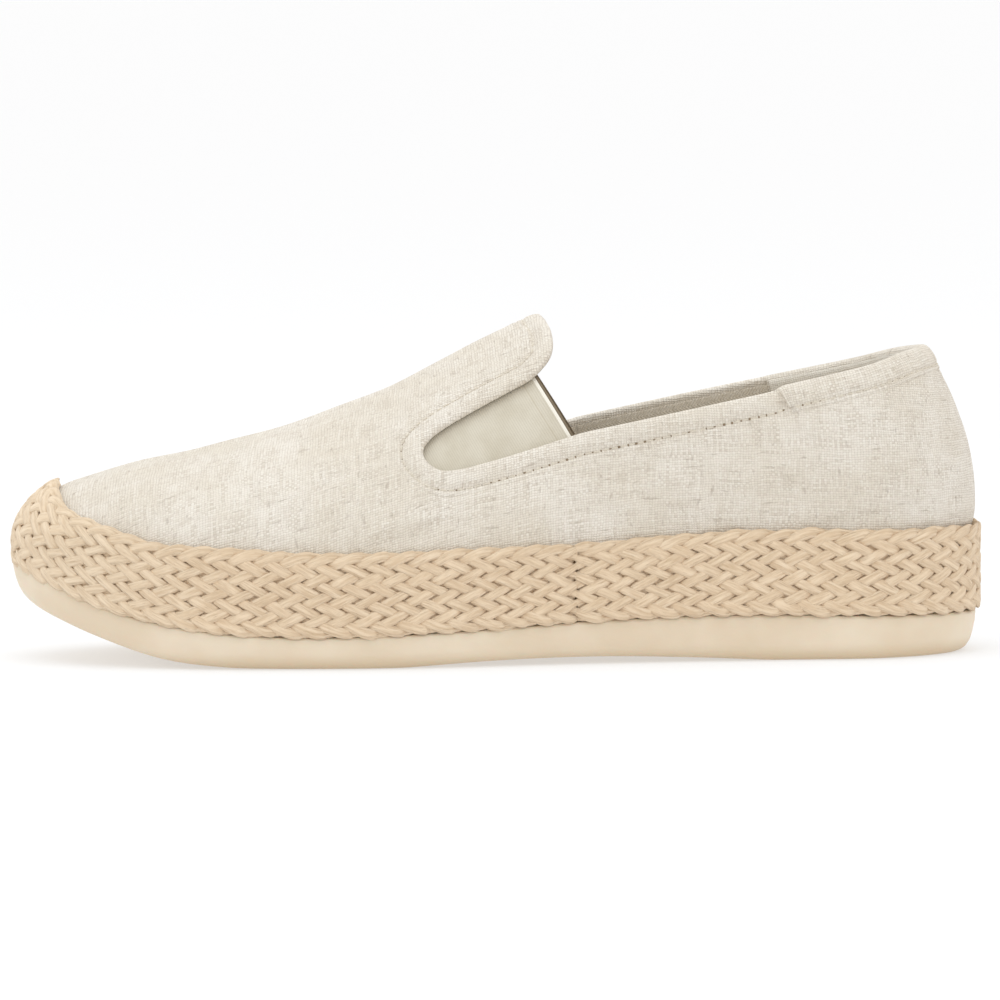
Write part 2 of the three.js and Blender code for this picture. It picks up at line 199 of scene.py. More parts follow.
def finish_piece(piece, finish, slot, *nodes, angle=50):
    """Gives a piece its material, its body and the solids that it stands for. slot is not used."""
    piece.data.materials.clear()
    piece.data.materials.append(finish.material)
    smooth(piece, angle)
    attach(piece, "root")
    if nodes:
        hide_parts(*nodes)
    return piece


class Shade:
    """One output of a node. Arithmetic on it adds Math nodes to the same material."""

    def __init__(self, finish, socket):
        self.finish = finish
        self.socket = socket

    def maths(self, operation, *values):
        return self.finish.add("ShaderNodeMath", {"operation": operation}, values)

    def __add__(self, other):
        return self.maths("ADD", self, other)

    def __sub__(self, other):
        return self.maths("SUBTRACT", self, other)

    def __rsub__(self, other):
        return self.maths("SUBTRACT", other, self)

    def __mul__(self, other):
        return self.maths("MULTIPLY", self, other)

    def __truediv__(self, other):
        return self.maths("DIVIDE", self, other)

    def __pow__(self, other):
        return self.maths("POWER", self, other)

    def __abs__(self):
        return self.maths("ABSOLUTE", self)

    __radd__ = __add__
    __rmul__ = __mul__

    def sine(self):
        return self.maths("SINE", self)

    def over(self, low, high):
        """0 up to low and 1 from high on, with a soft rise between."""
        spread = {"interpolation_type": "SMOOTHSTEP"}
        return self.finish.add("ShaderNodeMapRange", spread, {"Value": self, 1: low, 2: high})


class Finish:
    """A material in the making, with one Principled shader at its end."""

    def __init__(self, name, **constants):
        self.material = bpy.data.materials.new(name)
        self.material.use_nodes = True
        self.tree = self.material.node_tree
        self.shader = self.tree.nodes["Principled BSDF"]
        for socket, value in constants.items():
            self.shader.inputs[socket.replace("_", " ")].default_value = value

    def add(self, kind, settings=None, inputs=(), output=0):
        """Adds a node of a kind, sets it, and fills its sockets with values or links."""
        node = self.tree.nodes.new(kind)
        for name, value in (settings or {}).items():
            if name == "stops":
                self.set_stops(node.color_ramp, value)
            else:
                setattr(node, name, value)
        for key, value in inputs.items() if isinstance(inputs, dict) else enumerate(inputs):
            if isinstance(value, Shade):
                self.tree.links.new(value.socket, node.inputs[key])
            else:
                node.inputs[key].default_value = value
        return Shade(self, node.outputs[output])

    def set_stops(self, ramp, stops):
        while len(ramp.elements) < len(stops):
            ramp.elements.new(0.5)
        for element, (position, colour) in zip(ramp.elements, stops):
            element.position = position
            element.color = colour

    def feed(self, socket, value):
        self.tree.links.new(value.socket, self.shader.inputs[socket])

    def mix(self, factor, one, other, blend="MIX"):
        """A colour between two colours, or one blended with the other."""
        settings = {"data_type": "RGBA", "blend_type": blend}
        return self.add("ShaderNodeMix", settings, {0: factor, 6: one, 7: other}, output=2)

    def noise(self, vector, scale, detail=3.0, rough=0.55):
        return self.add(
            "ShaderNodeTexNoise", None,
            {"Vector": vector, "Scale": scale, "Detail": detail, "Roughness": rough},
        )

    def place(self):
        """Place in the shared frame, in metres."""
        return self.add("ShaderNodeTexCoord", None, (), output=3)

    def uv(self):
        """The two ways across a piece's own cloth or fibre, in millimetres."""
        whole = self.add("ShaderNodeUVMap")
        return [self.add("ShaderNodeSeparateXYZ", None, [whole], output=k) for k in (0, 1)]

    def vector(self, x, y=0.0, z=0.0):
        return self.add("ShaderNodeCombineXYZ", None, [x, y, z])

    def bump(self, height, distance, strength=1.0, under=None):
        inputs = {"Height": height, "Distance": distance, "Strength": strength}
        if under is not None:
            inputs["Normal"] = under
        return self.add("ShaderNodeBump", None, inputs)


def paint(code):
    """Linear colour from a hex code."""
    parts = [int(code[i:i + 2], 16) / 255 for i in (1, 3, 5)]
    return [p / 12.92 if p <= 0.04045 else ((p + 0.055) / 1.055) ** 2.4 for p in parts] + [1.0]


def under_heights(at):
    flat = ((at > FOREFOOT_FLAT[0]) & (at < FOREFOOT_FLAT[1])) | (at > HEEL_FLAT)
    return np.where(flat, 0.0, np.maximum(0, column_at(SOLE, "under", at)))


def outsole_slices():
    """Closed slices across the sole from toe to heel: tread, inner side, top, outer side."""
    across = np.linspace(-1, 1, 61)[:, None]
    bumper = (TOE_BUMPER * (1 - soft_step(STATIONS, 0, TOE_BUMPER_END)))[:, None]
    low = sole_edges(OUTSOLE_SIDE["out"][0] + bumper)
    middle = (low[0] + low[1]) / 2
    half = (low[1] - low[0]) / 2
    plan = middle + across[..., None] * half
    inset = (1 - abs(across)) * abs(half[:, 1])
    wave = np.sin(2 * np.pi * (plan[..., 0] / TREAD_PITCH + 0.35 * np.sin(plan[..., 1] / 4.5)))
    deep = TREAD_DEEP * soft_step(wave, -0.15, 0.75) * soft_step(inset, TREAD_BORDER, TREAD_BORDER + 1.5)
    ends = soft_step(plan[..., 0], 8, 14) * soft_step(LENGTH - plan[..., 0], 8, 14)
    tread = np.dstack([plan, under_heights(plan[..., 0]) + deep * ends])
    sides = []
    for side in (1, 0):
        rows = []
        for up, out in zip(OUTSOLE_SIDE["up"], OUTSOLE_SIDE["out"]):
            edge = sole_edges(out + bumper)[side]
            under = under_heights(edge[:, 0])
            height = under + up * (column_at(SOLE, "top", edge[:, 0]) - under)
            rows.append(np.column_stack([edge, height]))
        sides.append(rows)
    loop = list(tread[:-1]) + sides[0] + sides[1][::-1]
    return np.array(loop + loop[:1])[::-1]


RUBBER = Finish("pale_rubber", Roughness=0.5, Subsurface_Weight=0.12, Subsurface_Scale=0.004, IOR=1.5)
spot = RUBBER.place()
height = RUBBER.add("ShaderNodeSeparateXYZ", None, [spot], output=2) * 1000
cloud = RUBBER.noise(spot, 38, 3)
base = RUBBER.mix(cloud.over(0.3, 0.7), paint("#e8d9c2"), paint("#e0ceb4"))
# Darker over the lowest 5 mm above the floor: painted shade along the sole's lower edge.
base = RUBBER.mix(1 - height.over(0.2, 5.0), base, paint("#d6c2a4"))
RUBBER.feed("Base Color", base)
RUBBER.feed("Roughness", 0.42 + RUBBER.noise(spot, 260, 4) * 0.22)
grain = RUBBER.bump(RUBBER.noise(spot, 1500, 3), 0.00012, 0.5)
RUBBER.feed("Normal", RUBBER.bump(RUBBER.noise(spot, 90, 2), 0.0006, 0.35, grain))

outsole = close_up(lay_grid("outsole_rubber", outsole_slices()))
finish_piece(outsole, RUBBER, "outsole_rubber", "outsole", angle=60)

# Midsole.
# A slab of soft foam between the outsole and the insole, cemented to both. The plait hides its edge
# all round.
MIDSOLE_FOREFOOT, HEEL_LIFT, LIFT_FROM, LIFT_TO = 4.6, 2.6, 95, 185
FOAM = Finish("cream_foam", Roughness=0.9)
spot = FOAM.place()
FOAM.feed("Base Color", FOAM.mix(FOAM.noise(spot, 220), paint("#d8cbb2"), paint("#c9ba9c")))
FOAM.feed("Normal", FOAM.bump(FOAM.noise(spot, 2400, 2), 0.0001, 0.6))
midsole = bpy.data.objects["midsole"]
for material_slot in midsole.material_slots:
    material_slot.material = FOAM.material


def seat_heights(at):
    """Height of the midsole's top face, which the upper and the insole stand on."""
    return column_at(SOLE, "top", at) + MIDSOLE_FOREFOOT + HEEL_LIFT * soft_step(at, LIFT_FROM, LIFT_TO)


# Insole.
# A thin foam footbed with a cotton sock glued over it, a little crowned and cupped at its edge. It is
# glued to the midsole, inside the upper.
INSOLE_THICK, INSOLE_SINK, INSOLE_LIP = 3.5, 0.5, 0.8
INSOLE_CUP, INSOLE_CROWN, INSOLE_EASE = 1.3, 0.35, 0.15
INSOLE_EDGE = [(0.0, -0.7), (0.12, -0.2), (0.35, 0.0), (0.7, -0.05), (0.92, -0.35)]
UPPER_WALL = 1.8


def insole_slices():
    """Closed slices across the insole: crowned face, two round edges in (share up, out), flat back."""
    top = np.linspace(1, -1, 33)[:, None]
    edge_out = -UPPER_WALL - GAP - INSOLE_EASE
    edges = sole_edges(edge_out - INSOLE_LIP)
    middle = (edges[0] + edges[1]) / 2
    half = (edges[1] - edges[0]) / 2
    plan = middle + top[..., None] * half
    cup = INSOLE_CUP * abs(top) ** 6 + INSOLE_CROWN * (1 - top**2)
    face = np.dstack([plan, seat_heights(plan[..., 0]) + GAP + INSOLE_THICK - INSOLE_SINK + cup])
    lower = np.dstack([plan[::-4], seat_heights(plan[::-4, :, 0]) + GAP])
    sides = []
    for side in (0, 1):
        rows = []
        for up, out in INSOLE_EDGE:
            edge = sole_edges(edge_out + out)[side]
            rise = up * (INSOLE_THICK + INSOLE_LIP)
            rows.append(np.column_stack([edge, seat_heights(edge[:, 0]) + GAP + rise]))
        sides.append(rows)
    loop = list(lower) + sides[1] + list(face) + sides[0][::-1]
    return np.array(loop + loop[:1])[::-1]


SOCK = Finish("cotton_sock", Roughness=0.95, Sheen_Weight=0.1)
spot = SOCK.place()
east, north = [SOCK.add("ShaderNodeSeparateXYZ", None, [spot], output=k) * 1000 for k in (0, 1)]
threads = abs((east * 4.6).sine()) * abs((north * 4.6).sine())
shade = SOCK.mix(SOCK.noise(spot, 60).over(0.35, 0.7), paint("#d8cdb8"), paint("#cbbfa8"))
# Darker between the threads: painted shade in the low gaps of the weave.
SOCK.feed("Base Color", SOCK.mix(threads.over(0.0, 0.5), paint("#b9ac93"), shade))
SOCK.feed("Normal", SOCK.bump(threads ** 0.5, 0.00012, 0.6))
insole = close_up(lay_grid("insole_pad", insole_slices()))
finish_piece(insole, SOCK, "sock", "insole", angle=60)


# Jute plait.
# Seventeen flat strands of raw jute in a two-over, two-under flat plait, wrapped once round the
# midsole and over the toe, cemented on and butted together on the outer side, near the waist.
CROWN = {
    "at": [20, 35, 51, 64, 79, 92, 106, 117, 129, 141, 152, 175, 232],
    "height": [49.2, 53.3, 56.4, 59.6, 63.9, 68.5, 74.2, 79.8, 85.9, 91.4, 93.7, 95.1, 94.1],
    "shift": [0.0, 0.6, 1.2, 1.7, 2.2, 2.6, 3.0, 3.0, 3.0, 2.8, 2.4, 1.2, 0.0],
}
TOE_POLE, TOE_FAN, HEEL_POLE, HEEL_FAN = 20.0, 62.0, 230.0, 60.0
RIB = {
    "at": [3, 30, 79, 112, 143, 160, 182, 205, 235, 261],
    "spring": [32, 31, 28, 28, 30, 32, 34, 36, 36, 34],
    "rise": [0.45, 0.6, 0.6, 0.55, 0.51, 0.5, 0.48, 0.47, 0.47, 0.22],
    "lean": [0.0, 0.0, 0.0, 0.0, -0.03, -0.08, -0.11, -0.12, -0.13, -0.18],
    "top": [0.56, 0.58, 0.54, 0.43, 0.39, 0.8, 1.04, 1.06, 1.0, 0.75],
}
PLAIT_TOP = {
    "at": [3, 8, 14, 25, 38, 52, 66, 80, 95, 125, 160, 195, 230, 261],
    "height": [46.8, 45.1, 42.0, 38.3, 34.6, 33.3, 32.4, 31.7, 31.6, 32.3, 33.5, 35.7, 35.6, 35.3],
}
STRANDS = 17
STRAND_WIDE, STRAND_THICK = 2.9, 1.25
FLOAT_PITCH = 6.8
BUTT_AT = 152
STRAND_STEP = 0.8
STRAND_SIDES = 10
STRANDS_A_PIECE = 5
PLAIT_HANG = 0.45


def crown_stations(at):
    """Where the ribs meet the crown line: straight above their feet, drawn to a pole at each end."""
    toe_part = np.clip(at / TOE_FAN, 0, 1) ** (TOE_FAN / (TOE_FAN - TOE_POLE))
    heel_reach = HEEL_FAN - (LENGTH - HEEL_POLE)
    heel_part = np.clip((LENGTH - at) / HEEL_FAN, 0, 1) ** (HEEL_FAN / heel_reach)
    toe = TOE_POLE + (TOE_FAN - TOE_POLE) * toe_part
    heel = HEEL_POLE - heel_reach * heel_part
    return np.where(at < TOE_FAN, toe, np.where(at > LENGTH - HEEL_FAN, heel, at))


WALL_STEPS, DOME_STEPS = 10, 130


def rib_lines(side, foot_heights):
    """The last's ribs on one side as lines of points [station][step] from the foot to the crown."""
    at = STATIONS
    foot = foot_points(at, side)
    top_at = crown_stations(at)
    crown = np.stack([top_at, column_at(CROWN, "shift", top_at), column_at(CROWN, "height", top_at)], -1)
    slope = column_at(CROWN, "height", top_at + 0.5) - column_at(CROWN, "height", top_at - 0.5)
    spring = column_at(RIB, "spring", at)
    rise = column_at(RIB, "rise", at) * (crown[:, 2] - spring)
    bulge = 1 - column_at(RIB, "lean", at)
    broad = column_at(RIB, "top", at)
    reach = foot - crown[:, :2]
    start = np.column_stack([foot, spring])
    turn = np.column_stack([crown[:, :2] + reach * bulge[:, None], spring + rise])
    shoulder = np.column_stack([
        crown[:, :2] + reach * broad[:, None],
        crown[:, 2] + slope * reach[:, 0] * broad,
    ])
    t = np.linspace(0, 1, DOME_STEPS + 1)[None, :, None]
    dome = start[:, None] * (1 - t) ** 3 + 3 * turn[:, None] * t * (1 - t) ** 2
    dome = dome + 3 * shoulder[:, None] * t**2 * (1 - t) + crown[:, None] * t**3
    up = np.linspace(0, 1, WALL_STEPS + 1)[None, :-1]
    heights = foot_heights[:, None] + up * (spring - foot_heights)[:, None]
    wall = np.dstack([np.broadcast_to(foot[:, None], heights.shape + (2,)), heights])
    return np.concatenate([wall, dome], axis=1)


def travel(points):
    """Distance gone along lines of points, on their last axis of places."""
    legs = np.linalg.norm(np.diff(points, axis=-2), axis=-1)
    return np.concatenate([np.zeros(legs.shape[:-1] + (1,)), np.cumsum(legs, axis=-1)], axis=-1)


def along_line(points, gone, wanted):
    return np.column_stack([np.interp(wanted, gone, points[:, k]) for k in range(3)])


def plait_face():
    """The face that the plait lies on, [share up][place round], once round from the toe's tip by the
    outer side to the heel and back by the inner side."""
    shares = np.linspace(0, 1, 17)
    low = column_at(SOLE, "top", STATIONS) + GAP - PLAIT_HANG
    high = column_at(PLAIT_TOP, "height", STATIONS)
    halves = []
    for side in (-1, 1):
        ribs = rib_lines(side, low)
        gone = travel(ribs)
        half = []
        for line, way, top in zip(ribs, gone, high):
            reach = np.interp(top, line[:, 2], way)
            half.append(along_line(line, way, shares * reach))
        halves.append(np.array(half))
    round_it = np.concatenate([halves[0], halves[1][-2:0:-1]])
    return round_it.transpose(1, 0, 2)


FACE = plait_face()
longer = np.concatenate([FACE[:, -1:], FACE, FACE[:, :1]], axis=1)
FACE_OUT = unit(np.cross(longer[:, 2:] - longer[:, :-2], np.gradient(FACE, axis=0)))
loop = np.concatenate([FACE, FACE[:, :1]], axis=1)
ROUND_WAY = travel(loop[len(FACE) // 2])
ROUND = ROUND_WAY[-1]
HIGH_WAY = travel(FACE.transpose(1, 0, 2))[:, -1]


def on_plait(way, share, out):
    """Points on the plait's face: a way round in millimetres, a share up, and out from it."""
    count = FACE.shape[1]
    i = np.interp(np.mod(way, ROUND), ROUND_WAY, np.arange(count + 1))
    j = np.clip(share, 0, 1) * (len(FACE) - 1)
    left, below = np.floor(i).astype(int) % count, np.clip(np.floor(j).astype(int), 0, len(FACE) - 2)
    right = (left + 1) % count
    u, v = (i - np.floor(i))[..., None], (j - below)[..., None]

    def blended(grid):
        lower = grid[below, left] * (1 - u) + grid[below, right] * u
        upper = grid[below + 1, left] * (1 - u) + grid[below + 1, right] * u
        return lower * (1 - v) + upper * v

    return blended(FACE) + unit(blended(FACE_OUT)) * np.asarray(out)[..., None]


def wander(rng, length, pitch, count=1):
    """Slow seeded wandering between about -1 and 1 along a length, with knots at a pitch."""
    knots = np.arange(0, length + 2 * pitch, pitch)
    values = rng.uniform(-1, 1, (count, len(knots)))
    return lambda way: np.array([np.interp(way, knots, row) for row in values])


def tube(spine, across, thick, half_wide, half_thick, skin):
    """A flattened strand: rings of points round a spine. skin swells each point of each ring."""
    angle = np.arange(STRAND_SIDES + 1) / STRAND_SIDES * 2 * np.pi
    wide = np.sign(np.cos(angle)) * abs(np.cos(angle)) ** 0.85
    high = np.sign(np.sin(angle)) * abs(np.sin(angle)) ** 0.65
    rings = spine[None] + across[None] * (wide[:, None, None] * (half_wide * skin)[..., None])
    return rings + thick[None] * (high[:, None, None] * (half_thick * skin)[..., None])


def strand(number, rng):
    """One strand, zigzag from edge to edge of the band, over two and under two of the others."""
    period = STRANDS * FLOAT_STEP
    steps = int(ROUND / STRAND_STEP)
    way = np.linspace(0, ROUND, steps + 1)
    turn = 2 * np.pi * (way - number * FLOAT_STEP) / period
    round_off = 0.0166
    share = 0.5 - np.arcsin((1 - round_off) * np.cos(turn)) / np.pi
    rising = np.sin(turn) >= 0
    level = STRANDS * share
    front = np.where(rising, 3.5, 1.5)
    wave = np.cos(2 * np.pi * (level - front) / 4)
    ends = soft_step(level, 0.5, 1.3) * soft_step(STRANDS - level, 0.5, 1.3)
    over = np.tanh(2.0 * wave) / np.tanh(2.0) * ends
    share = share + 0.2 / STRANDS * np.sin(2 * np.pi * (level - front) / 4) * ends
    start = BUTT_WAY
    high = np.interp(np.mod(way + start, ROUND), ROUND_WAY[:-1], HIGH_WAY)
    share = share + 0.26 / high * wander(rng, ROUND, 8)(way)[0]
    butt = bell(np.minimum(way, ROUND - way), 0, 1.4)
    swell = 1 + 0.13 * wander(rng, ROUND, 11)(way)[0]
    grow = np.clip(high / 22.4, 0.95, 1.35)
    mid = GAP + PLAIT_THICK / 2 + 0.08
    out = mid + over * STRAND_THICK * 0.47 + 0.07 * wander(rng, ROUND, 6)(way)[0] - butt * 0.7
    spine = on_plait(way + start, share, out)
    step = 0.5
    below = on_plait(way + start, share, out - step)
    normal = unit(spine - below)
    along = unit(np.gradient(spine, axis=0))
    across = unit(np.cross(normal, along))
    thick = unit(np.cross(along, across))
    half_wide = STRAND_WIDE / 2 * grow * swell * (1 - 0.25 * butt) * (0.9 + 0.1 * abs(over))
    half_thick = STRAND_THICK / 2 * (2 - swell) * (1 - 0.3 * butt)
    skin = 1 + 0.07 * wander(rng, ROUND, 7, STRAND_SIDES)(way)
    skin = np.concatenate([skin, skin[:1]])
    rings = tube(spine, across, thick, half_wide, half_thick, skin)
    gone = travel(spine)
    angle = np.arange(STRAND_SIDES + 1) / STRAND_SIDES
    fibre = np.dstack([
        np.broadcast_to(angle[:, None] * 2 * (STRAND_WIDE + STRAND_THICK), rings.shape[:2]),
        np.broadcast_to(gone[None] + number * 731.0, rings.shape[:2]),
    ])
    return rings, fibre


FLOAT_STEP = ROUND / round(ROUND / FLOAT_PITCH)
BUTT_WAY = ROUND_WAY[np.searchsorted(STATIONS, BUTT_AT)]

JUTE = Finish("raw_jute", Roughness=0.82, Sheen_Weight=0.12, Sheen_Roughness=0.5)
across_fibre, along_fibre = JUTE.uv()
spot = JUTE.place()
fine = JUTE.noise(JUTE.vector(across_fibre * 5.2, along_fibre * 0.35), 1.0, 4, 0.65)
ply = JUTE.noise(JUTE.vector(across_fibre * 1.6, along_fibre * 0.12, 3.0), 1.0, 2)
patch = JUTE.noise(JUTE.vector(along_fibre * 0.05, across_fibre * 0.02, 9.0), 1.0, 2)
station = JUTE.add("ShaderNodeSeparateXYZ", None, [spot], output=0) * 1000 + LENGTH / 2
tone = JUTE.mix(ply.over(0.3, 0.7), paint("#d3b795"), paint("#f2dcbf"))
tone = JUTE.mix(patch.over(0.3, 0.75) * 0.6, tone, paint("#e8cfaf"))
tone = JUTE.mix((1 - station.over(14, 60)) * 0.2, tone, paint("#f0e0c6"))
tone = JUTE.mix(fine.over(0.5, 0.78) * 0.55, tone, paint("#f8ead3"))
tone = JUTE.mix((1 - fine.over(0.22, 0.46)) * 0.6, tone, paint("#a58863"))
JUTE.feed("Base Color", tone)
JUTE.feed("Roughness", 0.72 + fine * 0.22)
rough_skin = JUTE.bump(ply, 0.0006, 0.6)
JUTE.feed("Normal", JUTE.bump(fine, 0.00035, 0.8, rough_skin))

chance = np.random.default_rng(17)
pieces = []
for number in range(STRANDS):
    rings, fibre = strand(number, chance)
    pieces.append(close_up(lay_grid(f"strand_{number}", rings[::-1], fibre[::-1]), fill=True))
plaits = []
for first in range(0, STRANDS, STRANDS_A_PIECE):
    group = pieces[first:first + STRANDS_A_PIECE]
    for piece in group:
        piece.select_set(True)
    bpy.context.view_layer.objects.active = group[0]
    bpy.ops.object.join()
    group[0].name = f"jute_plait_{first // STRANDS_A_PIECE + 1}"
    group[0].select_set(False)
    plaits.append(group[0])
finish_piece(plaits[0], JUTE, "jute", "jute_braid", angle=70)
for piece in plaits[1:]:
    finish_piece(piece, JUTE, "jute", angle=70)

# Behind the strands, a dark band of painted shade, the shadow in the gaps. Its section is in (share up, out).
PLAIT_SHADE_SECTION = [
    (0.03, 0.35), (0.03, 0.7), (0.5, 0.75), (0.95, 0.7), (0.95, 0.35), (0.5, 0.35), (0.03, 0.35),
]
PLAIT_SHADE_STEPS = 361
PLAIT_SHADE = Finish("plait_gap_shade", Roughness=0.95)
gap_shade_mottle = PLAIT_SHADE.noise(PLAIT_SHADE.place(), 900)
PLAIT_SHADE.feed("Base Color", PLAIT_SHADE.mix(gap_shade_mottle, paint("#5f482d"), paint("#7d6344")))
ways = np.linspace(0, ROUND, PLAIT_SHADE_STEPS)
rows = [
    on_plait(ways, np.full(PLAIT_SHADE_STEPS, share), np.full(PLAIT_SHADE_STEPS, out))
    for share, out in PLAIT_SHADE_SECTION
]
finish_piece(close_up(lay_grid("plait_gap_shade", np.array(rows))), PLAIT_SHADE, "jute")


# Upper.
# One cut of undyed linen canvas, seamed at the heel under the heel strip, lasted and cemented under
# the midsole. Its topline is turned in and sewn, so it is puffed at the edge and pulled in at the seam.
CUT_CORNER = 130.0
TONGUE_EDGE = [(143.7, 93.0), (146.3, 90.3), (147.1, 86.3), (146.0, 81.9), (141.4, 76.7)]
NOTCH_EDGE = [(141.4, 76.7), (131.4, 71.6), (118.4, 64.7), (112.8, 60.6), (111.6, 57.3), (114.0, 54.1),
              (119.4, 52.8), (135.4, 56.6), (154.6, 62.5)]
COLLAR_EDGE = [(154.6, 62.5), (182, 68.1), (207.0, 73.2)]
OUTER_BACK_EDGE = [(207.8, 74.4), (231, 79.4), (243, 82.8), (254, 84.2)]
INNER_BACK_EDGE = [(207.8, 73.4), (231, 78.2), (243, 81.8), (254, 84.2)]
BACK_END = 290.0
BACK_BLEND = 14.0
SHEET_ROWS = 100
CANVAS_THICK = 1.0
CUT_BACK = 0.6
CREASES = [
    # from (station, height) to (station, height) on a side, how deep, how wide
    ((97, 33.0), (119, 38.5), -1, 0.45, 2.2),
    ((219, 36.0), (233, 39.5), -1, 0.4, 2.4),
    ((108, 42.0), (121, 47.5), -1, 0.25, 3.2),
    ((64, 38.0), (79, 44.0), 1, 0.4, 2.6),
    ((150, 40.0), (164, 49.0), 1, 0.35, 3.0),
    ((206, 42.0), (222, 52.0), -1, 0.22, 4.0),
]
THREAD_PITCH = 0.75
# The vamp's weave turns into the quarters' between two stations. Both are counted from one rib's girth,
# and along the threads from one station.
VAMP_UP_TO, QUARTER_FROM = 80, 165
LEVEL_RIB_STEP = 150
WEAVE_START = 120


def curve_through(points, steps=10):
    """A Catmull-Rom curve through points, its ends doubled."""
    knots = np.array([points[0], *points, points[-1]], float)
    t = np.linspace(0, 1, steps, endpoint=False)[:, None]
    spans = []
    for a, b, c, d in zip(knots, knots[1:], knots[2:], knots[3:]):
        bend = (c - a) * t + (2 * a - 5 * b + 4 * c - d) * t**2 + (3 * (b - c) + d - a) * t**3
        spans.append(b + bend / 2)
    return np.concatenate([*spans, knots[-1:]])


def last_sheet():
    """The last's whole outside as a sheet [row][column]: rows from the outer foot over the crown to
    the inner foot, even in girth, and columns from the toe to the heel."""
    shares = np.linspace(0, 1, SHEET_ROWS + 1)
    halves, girths, feet = [], [], seat_heights(STATIONS) + GAP
    for side in (-1, 1):
        ribs = rib_lines(side, feet)
        gone = travel(ribs)
        halves.append(np.array([along_line(line, way, shares * way[-1]) for line, way in zip(ribs, gone)]))
        girths.append(gone[:, -1])
    sheet = np.concatenate([halves[0], halves[1][:, -2::-1]], axis=1)
    return sheet.transpose(1, 0, 2), girths


SHEET, GIRTHS = last_sheet()
CROWN_ROW = SHEET_ROWS
LAST_ROW = 2 * SHEET_ROWS


def sheet_normals():
    mirrored = np.concatenate([SHEET[::-1, 1:2], SHEET, SHEET[::-1, -2:-1]], axis=1)
    lengthwise = mirrored[:, 2:] - mirrored[:, :-2]
    upward = np.gradient(SHEET, axis=0)
    normals = unit(np.cross(lengthwise, upward))
    slope = column_at(CROWN, "height", SHEET[CROWN_ROW, :, 0] + 0.5)
    slope = slope - column_at(CROWN, "height", SHEET[CROWN_ROW, :, 0] - 0.5)
    normals[CROWN_ROW] = unit(np.column_stack([-slope, 0 * slope, 1 + 0 * slope]))
    return normals


SHEET_OUT = sheet_normals()


def on_last(column, row, out=0.0):
    """Points on the last at places of its sheet, which carries on past toe and heel, moved out."""
    column, row = np.asarray(column, float), np.asarray(row, float)
    past = (column < 0) | (column > ENDS)
    column = np.where(column < 0, -column, np.where(column > ENDS, 2 * ENDS - column, column))
    row = np.where(past, LAST_ROW - row, row)
    i = np.clip(np.floor(column).astype(int), 0, ENDS - 1)
    j = np.clip(np.floor(row).astype(int), 0, LAST_ROW - 1)
    u, v = (column - i)[..., None], (row - j)[..., None]

    def blended(grid):
        lower = grid[j, i] * (1 - u) + grid[j, i + 1] * u
        upper = grid[j + 1, i] * (1 - u) + grid[j + 1, i + 1] * u
        return lower * (1 - v) + upper * v

    return blended(SHEET) + unit(blended(SHEET_OUT)) * np.asarray(out)[..., None]


def side_places(at, height, side):
    """Sheet places of side-view points on the part where the ribs stand upright."""
    column = np.interp(at, STATIONS, np.arange(ENDS + 1))
    rows = []
    for c, z in zip(np.atleast_1d(column), np.atleast_1d(height)):
        i = min(int(c), ENDS - 1)
        rib = SHEET[:, i, 2] * (1 - c + i) + SHEET[:, i + 1, 2] * (c - i)
        half = rib[:CROWN_ROW + 1] if side < 0 else rib[:CROWN_ROW - 1:-1]
        row = np.interp(z, half, np.arange(CROWN_ROW + 1))
        rows.append(row if side < 0 else LAST_ROW - row)
    return np.atleast_1d(column), np.array(rows)


def cut_distance(points, back_edge):
    """Distance in side view from the cut-away part above the topline, below 0 inside it."""
    outline = np.concatenate([
        [(TONGUE_EDGE[0][0], CUT_CORNER)], curve_through(TONGUE_EDGE), curve_through(NOTCH_EDGE),
        curve_through(COLLAR_EDGE), curve_through(back_edge),
        [(BACK_END, back_edge[-1][1]), (BACK_END, CUT_CORNER)],
    ])
    ends = np.roll(outline, -1, axis=0)
    flat = points.reshape(-1, 3)[:, [0, 2]]
    near = np.full(len(flat), 1e9)
    inside = np.zeros(len(flat), bool)
    for a, b in zip(outline, ends):
        leg = b - a
        if leg @ leg < 1e-9:
            continue
        share = np.clip(((flat - a) @ leg) / (leg @ leg), 0, 1)
        near = np.minimum(near, np.linalg.norm(flat - a - share[:, None] * leg, axis=1))
        if a[1] != b[1]:
            spans = (flat[:, 1] > a[1]) != (flat[:, 1] > b[1])
            inside ^= spans & (flat[:, 0] < a[0] + leg[0] * (flat[:, 1] - a[1]) / leg[1])
    return np.where(inside, -near, near).reshape(points.shape[:-1])


def zero_line(field):
    """The line of places where a field over the sheet is 0, from the heel's outer side to its inner."""
    links, place = {}, {}
    sign = field < 0
    corner = sign[:-1, :-1]
    mixed = (corner != sign[1:, :-1]) | (sign[:-1, 1:] != sign[1:, 1:]) | (corner != sign[:-1, 1:])
    for j, i in np.argwhere(mixed):
        met = []
        for (ja, ia), (jb, ib) in (((j, i), (j, i + 1)), ((j, i + 1), (j + 1, i + 1)),
                                   ((j + 1, i), (j + 1, i + 1)), ((j, i), (j + 1, i))):
            if sign[ja, ia] != sign[jb, ib]:
                share = field[ja, ia] / (field[ja, ia] - field[jb, ib])
                key = (ja, ia, jb, ib)
                place[key] = (ia + share * (ib - ia), ja + share * (jb - ja))
                met.append(key)
        if len(met) == 2:
            links.setdefault(met[0], []).append(met[1])
            links.setdefault(met[1], []).append(met[0])
    key = min((k for k in links if len(links[k]) == 1 and k[1] == ENDS), key=lambda k: k[0])
    line, came = [], None
    while key is not None:
        line.append(place[key])
        onward = [k for k in links[key] if k != came]
        came, key = key, (onward[0] if onward else None)
    return np.array(line)


inner_share = soft_step(SHEET[..., 1], -BACK_BLEND, BACK_BLEND)
CUT = cut_distance(SHEET, OUTER_BACK_EDGE) * (1 - inner_share)
CUT = CUT + cut_distance(SHEET, INNER_BACK_EDGE) * inner_share
EDGE_STEP = 0.6


